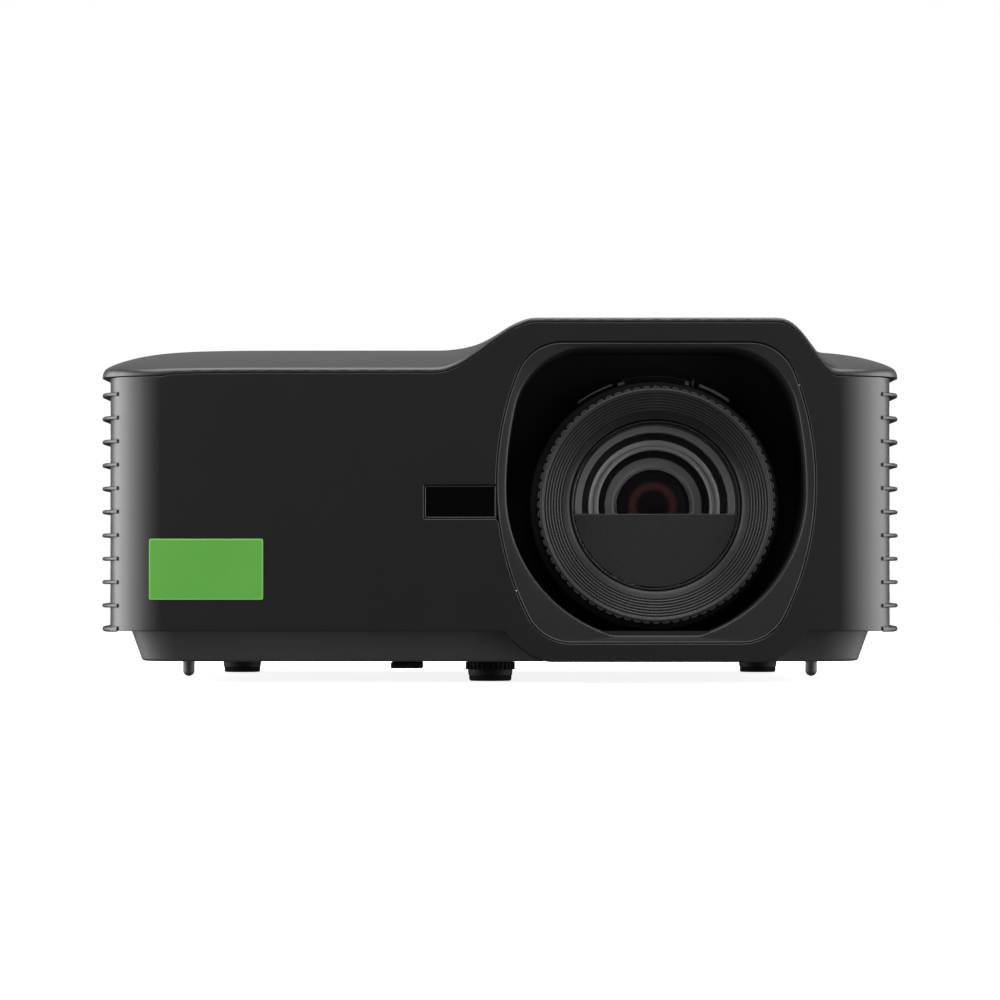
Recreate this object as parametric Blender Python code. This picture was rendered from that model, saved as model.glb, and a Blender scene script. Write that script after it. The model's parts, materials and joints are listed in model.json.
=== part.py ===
"""Home projector, built as an assembly of separate pieces. Metres, +Z up.

The lens faces -Y. The origin is on the surface that the projector stands on, under the middle of the casing.
A depth is measured backwards from the front face of the casing, so depth 0 is the front face.
"""

import math

import bmesh
import bpy
from mathutils import Matrix, Vector

# ---- Driving sizes -------------------------------------------------------------------------------
WIDTH = 0.286            # over the side fins
DEPTH = 0.216            # front face to rear panel
GAP = 0.0003             # between two pieces that touch
WALL = 0.0025            # casing walls
FIN_REACH = 0.004        # how far the side fins stand out from the casing
FRONT_RADIUS = 0.020     # vertical corners at the front, seen from above
REAR_RADIUS = 0.012      # vertical corners at the rear

FOOT_HEIGHT = 0.0074     # floor to the underside of the casing
CASE_HEIGHT = 0.0109     # underside to the seam of the bottom case
SIDE_HEIGHT = 0.0917     # seam to the edge of the top cover
CROWN_RISE = 0.0115      # edge of the top cover to its highest point
CROWN_DEPTH = 0.110      # depth of that highest point
REAR_FALL = 0.30         # share of the rise that is lost again at the rear edge
FRONT_SHARE = 0.10       # share of the rise that is there at the front edge
SHOULDER_RUN = 0.011     # how far inside the bezel's flat the columns of points start to spread
SHOULDER_POWER = 10.3    # squareness of the cover's cross section
HOOD_HEIGHT = 0.019      # edge of the top cover to the flat of the lens hood
HOOD_LENGTH = 0.150      # depth at which the hood has run out
FLANGE = 0.0014          # thickness of the cover's edge

FIN_COUNT = 10           # blades on each side, between the cover's edge and the bottom flange
FIN_THICKNESS = 0.0014
FIN_START = 0.008        # depth at which the blades grow out of the front corner
FIN_RUN = 0.028          # length over which they grow to their full reach

LENS_INSET = 0.0877      # right side to the optical axis
LENS_Z = 0.0629
RECESS_SHIFT = 0.0002    # how far the recess is centred left of the lens
RECESS_HALF_WIDTH = 0.0562
RECESS_TOP = 0.1202
RECESS_BOTTOM = 0.0142
RECESS_WAIST = 0.0706    # height at which the recess is widest
RECESS_BULGE = (0.106, 0.106)    # radius of its sides above and below the waist
RECESS_CORNER = (0.017, 0.017)   # its upper and lower corners
MOUTH_HALF_WIDTH = 0.0529        # the same for the opening in the trim
MOUTH_TOP = 0.1182
MOUTH_BOTTOM = 0.0170
MOUTH_WAIST = 0.0676
MOUTH_BULGE = (0.141, 0.0529)
MOUTH_CORNER = (0.026, 0.008)
RECESS_DEPTH = 0.046
TUNNEL_WALL = 0.0020
HOOD_LEFT = (0.0783, 0.0423)     # foot and crown of the hood's left slope, left of the lens axis
HOOD_RIGHT = (0.0417, 0.0632)    # crown and foot of its right slope, right of the lens axis
HOOD_SKEW = 1.3
LOBE_HALF_WIDTH = 0.0536         # lower lobe of the bezel at the seam
LOBE_FLAT_HALF = 0.037           # its flat bottom
LOBE_CURVE = 1.8                 # 1 for straight sides
LOBE_DEPTH = 0.030

FOCUS_RADIUS = 0.0422
FOCUS_BORE = 0.0305
FOCUS_FRONT = 0.006
FOCUS_LENGTH = 0.020
CONE_DEPTH = 0.006
BARREL_RADIUS = 0.0302
BARREL_BORE = 0.0295
MOUNT_RADIUS = 0.0380
ZOOM_RADIUS = 0.0450
ZOOM_LENGTH = 0.015
ZOOM_TAB = 0.0022
BARREL_LENGTH = 0.048

WINDOW_WIDTH = 0.0255
WINDOW_BOTTOM = 0.0582
WINDOW_HEIGHT = 0.0114
LABEL_LEFT = 0.0193      # from the fin tips
LABEL_BOTTOM = 0.0294
LABEL_WIDTH = 0.0402
LABEL_HEIGHT = 0.0215
LABEL_THICKNESS = 0.0003

FAN_SIZE = 0.080
FAN_THICKNESS = 0.020
FAN_CLEARANCE = 0.0015

KEY_X = -0.080           # centre of the keypad
KEY_DEPTH = 0.135
KEY_PLATE = (0.072, 0.052)

PORT_BOTTOM = 0.0240     # underside of the connectors
PORT_FACE = 0.0004       # how far the connectors stand behind the rear face
BOARD_THICKNESS = 0.0016

# ---- Levels and lines worked out from them -------------------------------------------------------
FRONT = -DEPTH / 2
LENS_X = WIDTH / 2 - LENS_INSET
RECESS_X = LENS_X - RECESS_SHIFT
UNDERSIDE = FOOT_HEIGHT
SEAM = UNDERSIDE + CASE_HEIGHT
EDGE = SEAM + SIDE_HEIGHT
HALF = WIDTH / 2 - FIN_REACH
FIN_PITCH = SIDE_HEIGHT / (FIN_COUNT + 1)
FLOOR = UNDERSIDE + WALL
LEFT_WINDOW = RECESS_X - RECESS_HALF_WIDTH - WINDOW_WIDTH


# ---- Materials -----------------------------------------------------------------------------------
def finish(name, color, roughness, metallic=0.0):
    """A Principled material of one colour."""
    material = bpy.data.materials.new(name)
    material.use_nodes = True
    shader = material.node_tree.nodes["Principled BSDF"]
    shader.inputs["Base Color"].default_value = (*color, 1.0)
    shader.inputs["Roughness"].default_value = roughness
    shader.inputs["Metallic"].default_value = metallic
    return material


# ---- Making solids -------------------------------------------------------------------------------
def link(name, bm, material=None, smooth=True):
    """An object made from a bmesh, with its faces turned outwards."""
    bmesh.ops.remove_doubles(bm, verts=bm.verts, dist=0.000001)
    bmesh.ops.recalc_face_normals(bm, faces=bm.faces)
    mesh = bpy.data.meshes.new(name)
    bm.to_mesh(mesh)
    bm.free()
    if material:
        mesh.materials.append(material)
    if smooth:
        mesh.shade_smooth()
        mesh.set_sharp_from_angle(angle=math.radians(35))
    obj = bpy.data.objects.new(name, mesh)
    bpy.context.scene.collection.objects.link(obj)
    return obj


def tool(obj):
    """Marks an object as a cutter or a building block that isn't a piece by itself."""
    obj.hide_render = True
    obj.display_type = "WIRE"
    return obj


def boolean(obj, other, operation):
    modifier = obj.modifiers.new(f"{operation.lower()}_{other.name}", "BOOLEAN")
    modifier.operation = operation
    modifier.solver = "EXACT"
    modifier.object = tool(other)
    return obj


def cut(obj, *cutters):
    for cutter in cutters:
        boolean(obj, cutter, "DIFFERENCE")
    return obj


def weld(obj, *others):
    for other in others:
        boolean(obj, other, "UNION")
    return obj


def add_loops(bm, loops, closed=False):
    """Joins rings of equal length with faces. An open run is capped at both ends."""
    rings = [[bm.verts.new(point) for point in loop] for loop in loops]
    count = len(rings[0])
    pairs = list(zip(rings, rings[1:]))
    if closed:
        pairs.append((rings[-1], rings[0]))
    for low, high in pairs:
        for i in range(count):
            j = (i + 1) % count
            bm.faces.new((low[i], low[j], high[j], high[i]))
    if not closed:
        bm.faces.new(reversed(rings[0]))
        bm.faces.new(rings[-1])


def loft(name, loops, material=None, closed=False):
    bm = bmesh.new()
    add_loops(bm, loops, closed)
    return link(name, bm, material)


def add_box(bm, low, high):
    corners = [(x, y, z) for z in (low[2], high[2]) for x, y in (
        (low[0], low[1]), (high[0], low[1]), (high[0], high[1]), (low[0], high[1]))]
    add_loops(bm, [corners[:4], corners[4:]])


def boxes(name, spans, material=None, bevel=0.0):
    """One or more boxes in one object, each given by its low and high corner."""
    bm = bmesh.new()
    for low, high in spans:
        add_box(bm, low, high)
    if bevel:
        bmesh.ops.bevel(bm, geom=bm.edges[:], offset=bevel, segments=2, affect="EDGES", profile=0.5)
    return link(name, bm, material)


def box(name, low, high, material=None, bevel=0.0):
    return boxes(name, [(low, high)], material, bevel)


def prism(name, outline, start, end, axis="Z", material=None):
    """An outline pushed along an axis: (x, y) along Z, (x, z) along Y or (y, z) along X."""
    place = {"Z": lambda a, b, c: (a, b, c),
             "Y": lambda a, b, c: (a, c, b),
             "X": lambda a, b, c: (c, a, b)}[axis]
    return loft(name, [[place(a, b, level) for a, b in outline] for level in (start, end)], material)


def turned(name, profile, centre, material=None, axis="Y", steps=48):
    """A closed profile of (radius, distance) points turned about an axis. Radius 0 closes on the axis."""
    bm = bmesh.new()
    turn = {"Y": Matrix.Rotation(math.radians(-90), 4, "X"), "Z": Matrix.Identity(4),
            "X": Matrix.Rotation(math.radians(90), 4, "Y")}[axis]
    rings = []
    for radius, along in profile:
        count = steps if radius > 0 else 1
        ring = []
        for i in range(count):
            angle = 2 * math.pi * i / steps
            point = Vector((radius * math.cos(angle), radius * math.sin(angle), along))
            ring.append(bm.verts.new(turn @ point))
        rings.append(ring)
    for first, second in zip(rings, rings[1:] + rings[:1]):
        if len(first) == 1 and len(second) == 1:
            continue
        for i in range(steps):
            j = (i + 1) % steps
            corners = [first[i % len(first)], first[j % len(first)],
                       second[j % len(second)], second[i % len(second)]]
            bm.faces.new(list(dict.fromkeys(corners)))
    obj = link(name, bm, material)
    obj.location = centre
    return obj


def rounded_rectangle(half_x, half_y, radius, segments=6, centre=(0.0, 0.0)):
    """The points of a rectangle with round corners, anticlockwise."""
    points = []
    for corner, (sx, sy) in enumerate(((1, -1), (1, 1), (-1, 1), (-1, -1))):
        for i in range(segments + 1):
            angle = math.radians(90 * (corner - 1) + 90 * i / segments)
            points.append((centre[0] + sx * (half_x - radius) + radius * math.cos(angle),
                           centre[1] + sy * (half_y - radius) + radius * math.sin(angle)))
    return points


def smooth(t):
    t = min(1.0, max(0.0, t))
    return t * t * (3 - 2 * t)


def casing_half(depth, inset=0.0):
    """Half width of the casing at a depth, inside its round corners, for a line inset from its outside."""
    radius, into = FRONT_RADIUS, depth
    if depth > DEPTH / 2:
        radius, into = REAR_RADIUS, DEPTH - depth
    if into >= radius:
        return HALF - inset
    across = (radius - inset) ** 2 - (radius - into) ** 2
    return HALF - radius + math.sqrt(max(0.0, across))


def fin_share(depth):
    """How far the fins have grown out of the corners at a depth, from 0 to 1."""
    run = min(depth, DEPTH - depth) - FIN_START
    return math.sin(min(1.0, max(0.0, run / FIN_RUN)) * math.pi / 2)


def fin_half(depth):
    """Half width over the blades at a depth, which start clear of the bezel's corner."""
    return casing_half(depth) + 2 * GAP + (FIN_REACH - 2 * GAP) * fin_share(depth)


def cover_half(depth):
    """Half width of the top cover's outline: the casing's corners, then out over the fins."""
    return casing_half(depth) + FIN_REACH * fin_share(depth)


def hood_share(x):
    """0 beside the lens hood, 1 on its flat."""
    if x < LENS_X:
        left_foot, left_crown = LENS_X - HOOD_LEFT[0], LENS_X - HOOD_LEFT[1]
        return smooth((x - left_foot) / (left_crown - left_foot))
    right_crown, right_foot = LENS_X + HOOD_RIGHT[0], LENS_X + HOOD_RIGHT[1]
    return 1 - smooth(max(0.0, (x - right_crown) / (right_foot - right_crown)) ** HOOD_SKEW)


def cover_columns(half):
    """Positions across the top cover for a half width, closest where its hood and shoulders bend."""
    steps = 6
    slopes = [LENS_X - start + (start - end) * i / steps
              for start, end in (HOOD_LEFT, (-HOOD_RIGHT[0], -HOOD_RIGHT[1])) for i in range(steps + 1)]
    last = HALF - FRONT_RADIUS - SHOULDER_RUN
    middle = [x for x in [-0.100, -0.085, -0.055] + sorted(slopes + [LENS_X]) if abs(x) < last - GAP]
    outer = [last + (half - last) * share for share in (0.0, 0.3, 0.55, 0.75, 0.9, 0.97, 1.0)]
    return [-x for x in reversed(outer)] + middle + outer


def top_height(x, depth):
    """Height of the top surface."""
    half = cover_half(depth)
    shoulder = math.sqrt(max(0.0, 1 - min(1.0, abs(x) / half) ** SHOULDER_POWER))
    if depth < CROWN_DEPTH:
        share = FRONT_SHARE + (1 - FRONT_SHARE) * (1 - (1 - depth / CROWN_DEPTH) ** 2.5)
    else:
        share = 1 - REAR_FALL * ((depth - CROWN_DEPTH) / (DEPTH - CROWN_DEPTH)) ** 2
    base = EDGE + CROWN_RISE * share * shoulder
    return base + (EDGE + HOOD_HEIGHT - base) * hood_share(x) * (1 - smooth(depth / HOOD_LENGTH))


def strip_outline(rear=False):
    """The front bezel or rear panel seen from above: a strip that wraps round both corners."""
    radius = REAR_RADIUS if rear else FRONT_RADIUS
    sign, face = (-1, DEPTH) if rear else (1, 0.0)
    outer, inner = [], []
    for line, inset in ((outer, 0.0), (inner, WALL)):
        for side in (-1, 1):
            arc = []
            for i in range(11):
                angle = math.radians(90 * i / 10)
                arc.append((side * (HALF - radius + (radius - inset) * math.cos(angle)),
                            FRONT + face + sign * (radius - (radius - inset) * math.sin(angle))))
            line.extend(arc if side < 0 else reversed(arc))
    return outer + inner[::-1]


def edge_outline(depth):
    """The front or rear wall as its own side shows it: under the cover's edge and above the seam."""
    edge = HALF + WALL
    low, half = FLANGE + GAP, cover_half(depth)
    top = [(x, top_height(x, depth) - low) for x in cover_columns(half)]
    hood = HOOD_HEIGHT * (1 - smooth((depth + FRONT_RADIUS) / HOOD_LENGTH))
    steps = 8
    corner = [half + (edge - half) * i / steps for i in range(1, steps + 1)]
    left, right = ([(side * x, EDGE - low + hood * hood_share(side * x)) for x in corner] for side in (-1, 1))
    return left[::-1] + top + right + [(edge, SEAM), (-edge, SEAM)]


def lobe_outline(inset=0.0, top=SEAM):
    """The bezel's lower lobe under the lens, as (x, z) points."""
    points = []
    steps = 8
    low = UNDERSIDE + inset
    for side in (-1, 1):
        run = []
        for i in range(steps + 1):
            share = i / steps
            widening = (LOBE_HALF_WIDTH - LOBE_FLAT_HALF) * share
            run.append((RECESS_X + side * (LOBE_FLAT_HALF - inset + widening),
                        low + (SEAM - low) * share ** LOBE_CURVE))
        points.extend(reversed(run) if side < 0 else run)
    return [(points[0][0], top)] + points + [(points[-1][0], top)]


def bulged_outline(half_width, top, bottom, waist, bulges, corners, steps=8):
    """A flat top and bottom joined by bulging sides through round corners, as (x, z) points anticlockwise."""
    quarters = []
    for level, sign, bulge, corner in ((top, 1, bulges[0], corners[0]), (bottom, -1, bulges[1], corners[1])):
        corner_z = level - sign * corner
        corner_x = half_width - bulge + math.sqrt((bulge - corner) ** 2 - (corner_z - waist) ** 2)
        turn = math.asin(abs(corner_z - waist) / (bulge - corner))
        side = [(half_width - bulge + bulge * math.cos(turn * i / steps),
                 waist + sign * bulge * math.sin(turn * i / steps)) for i in range(steps)]
        bend = [turn + (math.pi / 2 - turn) * i / steps for i in range(steps + 1)]
        side += [(corner_x + corner * math.cos(a), corner_z + sign * corner * math.sin(a)) for a in bend]
        quarters.append(side)
    upper, lower = quarters
    right = lower[:0:-1] + upper
    flats = [[((1 - 2 * i / steps) * end[0], end[1]) for i in range(1, steps)]
             for end in (upper[-1], lower[-1])]
    left = [(-x, z) for x, z in reversed(right)]
    return [(RECESS_X + x, z) for x, z in right + flats[0] + left + flats[1][::-1]]


def recess_outline(grow=0.0):
    return bulged_outline(RECESS_HALF_WIDTH + grow, RECESS_TOP + grow, RECESS_BOTTOM - grow, RECESS_WAIST,
                          [r + grow for r in RECESS_BULGE], [r + grow for r in RECESS_CORNER])


def mouth_outline(grow=0.0):
    return bulged_outline(MOUTH_HALF_WIDTH + grow, MOUTH_TOP + grow, MOUTH_BOTTOM - grow, MOUTH_WAIST,
                          [r + grow for r in MOUTH_BULGE], [r + grow for r in MOUTH_CORNER])


# ---- Casing pieces -------------------------------------------------------------------------------
def make_front_bezel(black):
    bezel = prism("front_bezel", strip_outline(), UNDERSIDE, EDGE + HOOD_HEIGHT + WALL, "Z", black)
    front_shape = prism("bezel_front_shape", edge_outline(0.0), FRONT - WALL,
                        FRONT + FRONT_RADIUS + WALL, "Y")
    boolean(bezel, front_shape, "INTERSECT")
    lobe = prism("bezel_lobe", lobe_outline(0.0, SEAM + WALL), FRONT, FRONT + LOBE_DEPTH, "Y")
    hollow = prism("bezel_lobe_hollow", lobe_outline(WALL, SEAM + 2 * WALL), FRONT + WALL,
                   FRONT + LOBE_DEPTH + WALL, "Y")
    cut(lobe, hollow)
    weld(bezel, lobe)
    opening = prism("bezel_recess_opening", recess_outline(GAP), FRONT - WALL, FRONT + 2 * WALL, "Y")
    window = box("bezel_window_opening", (LEFT_WINDOW - GAP, FRONT - WALL, WINDOW_BOTTOM - GAP),
                 (RECESS_X - RECESS_HALF_WIDTH + WALL, FRONT + 2 * WALL, WINDOW_BOTTOM + WINDOW_HEIGHT + GAP))
    left = LABEL_LEFT - WIDTH / 2
    pocket = box("bezel_label_pocket", (left - GAP, FRONT - WALL, LABEL_BOTTOM - GAP),
                 (left + LABEL_WIDTH + GAP, FRONT + LABEL_THICKNESS + GAP, LABEL_BOTTOM + LABEL_HEIGHT + GAP))
    return cut(bezel, opening, window, pocket)


def make_window_and_label(gloss, green):
    box("front_ir_window", (LEFT_WINDOW, FRONT + 0.0012, WINDOW_BOTTOM),
        (RECESS_X - RECESS_HALF_WIDTH - GAP, FRONT + 0.0032, WINDOW_BOTTOM + WINDOW_HEIGHT), gloss)
    left = LABEL_LEFT - WIDTH / 2
    box("front_label", (left, FRONT, LABEL_BOTTOM),
        (left + LABEL_WIDTH, FRONT + LABEL_THICKNESS, LABEL_BOTTOM + LABEL_HEIGHT), green)


def make_recess_trim(black):
    """The insert around the lens: a lip, a tunnel and a back plate with the hole for the lens mount."""
    def at(outline, depth):
        return [(x, FRONT + depth, z) for x, z in outline]

    turns = [math.atan2(z - LENS_Z, x - LENS_X) for x, z in mouth_outline()]
    bore = MOUNT_RADIUS + GAP
    hole = [(LENS_X + bore * math.cos(a), LENS_Z + bore * math.sin(a)) for a in turns]
    back = RECESS_DEPTH + WALL
    loops = [at(recess_outline(), 0.0008), at(recess_outline(), WALL), at(mouth_outline(TUNNEL_WALL), WALL),
             at(mouth_outline(TUNNEL_WALL - GAP), back), at(hole, back), at(hole, RECESS_DEPTH),
             at(mouth_outline(-0.0004), RECESS_DEPTH), at(mouth_outline(), 0.0020)]
    return loft("lens_recess_trim", loops, black, closed=True)


def cover_rows():
    """Depths of the rows of points over the top cover, closest at its rims."""
    front = [0.0, 0.001, 0.003, 0.006, FIN_START, 0.011, 0.015, FRONT_RADIUS, 0.028, 0.038, 0.052, 0.070, 0.090,
             CROWN_DEPTH, 0.130, HOOD_LENGTH]
    rear = [DEPTH - step for step in (0.036, 0.020, REAR_RADIUS, FIN_START, 0.005, 0.003, 0.001, 0.0)]
    return [row for row in front if row < rear[0] - 0.005] + rear


def make_top_cover(black):
    rows = cover_rows()
    inset = WALL + GAP
    bm = bmesh.new()
    outer, outer_rim, inner_rim, inner = [], [], [], []
    for depth in rows:
        half = cover_half(depth)
        inner_depth = min(max(depth, inset), DEPTH - inset)
        inner_half = casing_half(inner_depth, inset)
        lines = [[], [], [], []]
        for x, x_in in zip(cover_columns(half), cover_columns(inner_half)):
            height = top_height(x, depth)
            rim = height - FLANGE
            ceiling = top_height(x_in, inner_depth) - WALL
            lines[0].append(bm.verts.new((x, FRONT + depth, height)))
            lines[1].append((x, FRONT + depth, rim))
            lines[2].append((x_in, FRONT + inner_depth, rim))
            lines[3].append((x_in, FRONT + inner_depth, ceiling))
        for store, line in zip((outer, outer_rim, inner_rim, inner), lines):
            store.append(line)
    last_row, last_column = len(rows) - 1, len(cover_columns(HALF)) - 1
    kept = [i for i, depth in enumerate(rows) if i in (0, last_row) or inset < depth < DEPTH - inset]
    inner = [[bm.verts.new(point) for point in inner[i]] for i in kept]
    ring = [(i, 0) for i in range(last_row)] + [(last_row, j) for j in range(last_column)]
    ring += [(i, last_column) for i in range(last_row, 0, -1)] + [(0, j) for j in range(last_column, 0, -1)]
    low_outer = {key: bm.verts.new(outer_rim[key[0]][key[1]]) for key in ring}
    place = {row: index for index, row in enumerate(kept)}
    low_inner = {key: bm.verts.new(inner_rim[key[0]][key[1]]) for key in ring if key[0] in place}
    for grid in (outer, inner):
        for i in range(len(grid) - 1):
            for j in range(last_column):
                bm.faces.new((grid[i][j], grid[i][j + 1], grid[i + 1][j + 1], grid[i + 1][j]))
    for first, second in zip(ring, ring[1:] + ring[:1]):
        bm.faces.new((outer[first[0]][first[1]], outer[second[0]][second[1]],
                      low_outer[second], low_outer[first]))
    inside = [key for key in ring if key in low_inner]
    for first, second in zip(inside, inside[1:] + inside[:1]):
        between = ring[ring.index(first):]
        between = between[:between.index(second) + 1] if second in between else between + [second]
        bm.faces.new([low_outer[key] for key in between] + [low_inner[second], low_inner[first]])
        bm.faces.new((inner[place[first[0]]][first[1]], inner[place[second[0]]][second[1]],
                      low_inner[second], low_inner[first]))
    cover = link("top_cover", bm, black)
    half_x, half_y = KEY_PLATE[0] / 2 + GAP, KEY_PLATE[1] / 2 + GAP
    key_centre = (KEY_X, FRONT + KEY_DEPTH)
    opening = prism("cover_keypad_opening", rounded_rectangle(half_x, half_y, 0.004, 4, key_centre),
                    EDGE, EDGE + 2 * CROWN_RISE)
    return cut(cover, opening)


def make_bottom_case(black):
    top_half, low_half = HALF - 0.0072, HALF - 0.011
    rim_half = HALF - WALL - GAP

    def ring(half, radius, level):
        half_depth = half - HALF + DEPTH / 2
        return [(x, y, level) for x, y in rounded_rectangle(half, half_depth, radius)]

    shelf = SEAM + GAP
    loops = [ring(low_half - 0.001, 0.014, UNDERSIDE), ring(low_half, 0.015, UNDERSIDE + 0.001),
             ring(top_half, 0.016, shelf), ring(rim_half, FRONT_RADIUS - WALL - GAP, shelf),
             ring(rim_half, FRONT_RADIUS - WALL - GAP, shelf + 0.0015),
             ring(top_half - WALL, 0.014, shelf + 0.0015),
             ring(low_half - WALL, 0.012, FLOOR)]
    case = loft("bottom_case", loops, black)
    lobe_space = prism("case_lobe_space", lobe_outline(-GAP, SEAM + 4 * WALL), FRONT - WALL,
                       FRONT + LOBE_DEPTH + GAP, "Y")
    holes = [turned(f"case_hole_{name}", [(0, -WALL), (radius, -WALL), (radius, 3 * WALL), (0, 3 * WALL)],
                    (x, FRONT + depth, UNDERSIDE), axis="Z", steps=20)
             for name, x, depth, radius in FOOT_PLACES + SCREW_PLACES]
    return cut(case, lobe_space, *holes)


def make_fin_grille(name, side, black):
    """One side of the casing: a wall with air slots between blades that stand out."""
    inside, outside = HALF - WALL - GAP, HALF - 0.0003
    front, rear = FRONT_RADIUS + GAP, DEPTH - REAR_RADIUS - GAP
    low, top = SEAM - 0.0004, EDGE - FLANGE - GAP
    wall = box(name, (min(side * inside, side * outside), FRONT + front, low),
               (max(side * inside, side * outside), FRONT + rear, top), black)
    steps = 6
    first, last = FIN_START + GAP, DEPTH - FIN_START - GAP
    depths = [first + FIN_RUN * i / steps for i in range(steps + 1)]
    depths += [last - FIN_RUN + FIN_RUN * i / steps for i in range(steps + 1)]
    outer = [(side * fin_half(d), FRONT + d) for d in depths]
    hug_front = [first + (front - first) * i / 4 for i in range(5)]
    hug_rear = [rear + (last - rear) * i / 2 for i in range(3)]
    inner = [(side * (casing_half(d) + GAP), FRONT + d) for d in hug_front]
    inner += [(side * (outside - 0.001), FRONT + front + 0.0005),
              (side * (outside - 0.001), FRONT + rear - 0.0005)]
    inner += [(side * (casing_half(d) + GAP), FRONT + d) for d in hug_rear]
    outline = outer + inner[::-1]
    bm = bmesh.new()
    for k in range(FIN_COUNT + 1):
        centre = SEAM + 0.0006 + FIN_PITCH * k
        half = FIN_THICKNESS / 2 if k else 0.001
        add_loops(bm, [[(x, y, centre + s * half) for x, y in outline] for s in (-1, 1)])
    weld(wall, link(f"{name}_blades", bm))
    bm = bmesh.new()
    for k in range(FIN_COUNT + 1):
        centre = SEAM + 0.0006 + FIN_PITCH * (k + 0.5)
        half = (FIN_PITCH - FIN_THICKNESS) / 2 - 0.0009
        length = (rear - front - 0.016) / 2
        for n in range(2):
            start = FRONT + front + 0.006 + n * (length + 0.004)
            add_box(bm, (min(side * (inside - WALL), side * (HALF + WALL)), start, centre - half),
                    (max(side * (inside - WALL), side * (HALF + WALL)), start + length, centre + half))
    return cut(wall, link(f"{name}_slots", bm))


def port_x(index):
    """Places of the connectors across the rear panel."""
    return (-0.088, -0.045, -0.020, 0.004, 0.034, 0.066)[index]


PORT_SIZES = {
    "power_inlet": (0, 0.0275, 0.0200),
    "hdmi_port_1": (1, 0.0160, 0.0070),
    "hdmi_port_2": (2, 0.0160, 0.0070),
    "usb_port": (3, 0.0145, 0.0075),
    "serial_port": (4, 0.0310, 0.0125),
    "audio_jack": (5, 0.0080, 0.0080),
}

FOOT_INSET = 0.042
FOOT_PLACES = (
    ("front_foot", RECESS_X - 0.0586, 0.038, 0.0034),
    ("rear_foot_left", FOOT_INSET - WIDTH / 2, DEPTH - 0.036, 0.0034),
    ("rear_foot_right", WIDTH / 2 - FOOT_INSET, DEPTH - 0.036, 0.0034),
)
SCREW_INSET = 0.028
SCREW_PLACES = tuple(
    (f"case_screw_{end}_{'left' if side < 0 else 'right'}", side * (HALF - SCREW_INSET), depth, 0.0032)
    for end, depth in (("front", 0.052), ("rear", DEPTH - 0.062)) for side in (-1, 1))


def make_rear_panel(black, gloss):
    panel = prism("rear_panel", strip_outline(True), SEAM - WALL, EDGE + CROWN_RISE, "Z", black)
    rear = FRONT + DEPTH
    shape = prism("rear_panel_shape", edge_outline(DEPTH), rear - REAR_RADIUS - WALL, rear + WALL, "Y")
    boolean(panel, shape, "INTERSECT")
    holes = []
    for index, width, height in PORT_SIZES.values():
        x = port_x(index)
        holes.append(((x - width / 2 - GAP, rear - 2 * WALL, PORT_BOTTOM - GAP),
                      (x + width / 2 + GAP, rear + WALL, PORT_BOTTOM + height + GAP)))
    holes.append(((0.090 - GAP, rear - 2 * WALL, 0.060 - GAP), (0.106 + GAP, rear + WALL, 0.070 + GAP)))
    cut(panel, boxes("rear_panel_holes", holes))
    grille = []
    for row in range(6):
        z = 0.058 + row * 0.0055
        grille.append(((-0.058, rear - 2 * WALL, z), (-0.018, rear + WALL, z + 0.0030)))
    cut(panel, boxes("rear_panel_speaker_slots", grille))
    box("rear_ir_window", (0.090, rear - 0.0030, 0.060), (0.106, rear - 0.0008, 0.070), gloss)
    return panel


def make_feet_and_underside(rubber, black, steel):
    for name, x, depth, hole in FOOT_PLACES:
        top, low = (0.0089, 0.0077) if name == "front_foot" else (0.0082, 0.0075)
        shank = hole - 0.0004
        head = UNDERSIDE - GAP
        profile = [(0, 0), (low - 0.0012, 0), (low, 0.0012), (top, head), (shank, head), (shank, head + 0.0200),
                   (0, head + 0.0200)]
        turned(name, profile, (x, FRONT + depth, 0), rubber, "Z", 32)
    for name, x, depth, hole in SCREW_PLACES:
        shank, head = 0.0013, hole - GAP
        base = UNDERSIDE + 0.0006
        profile = [(0, 0.0008), (0.0012, 0.0008), (0.0012, 0), (head, 0), (head, 0.0014), (shank, 0.0014),
                   (shank, 0.006), (0, 0.006)]
        turned(name, profile, (x, FRONT + depth, base), steel, "Z", 12)
    for name, side in (("peg_left", -1), ("peg_right", 1)):
        radius = 0.00215
        low, top = 0.0015, UNDERSIDE - GAP
        profile = [(0, 0)] + [(radius * math.sin(math.radians(a)), radius * (1 - math.cos(math.radians(a))))
                              for a in (30, 60, 90)] + [(radius, top - low), (0, top - low)]
        turned(name, profile, (side * (WIDTH / 2 - 0.0303), FRONT + 0.045, low), black, "Z", 16)
    box("underside_pad", (-0.0389, FRONT + 0.014, 0.0049), (-0.0275, FRONT + 0.030, UNDERSIDE - GAP), rubber)


# ---- Lens ----------------------------------------------------------------------------------------
def lens_centre(depth):
    return (LENS_X, FRONT + depth, LENS_Z)


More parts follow.
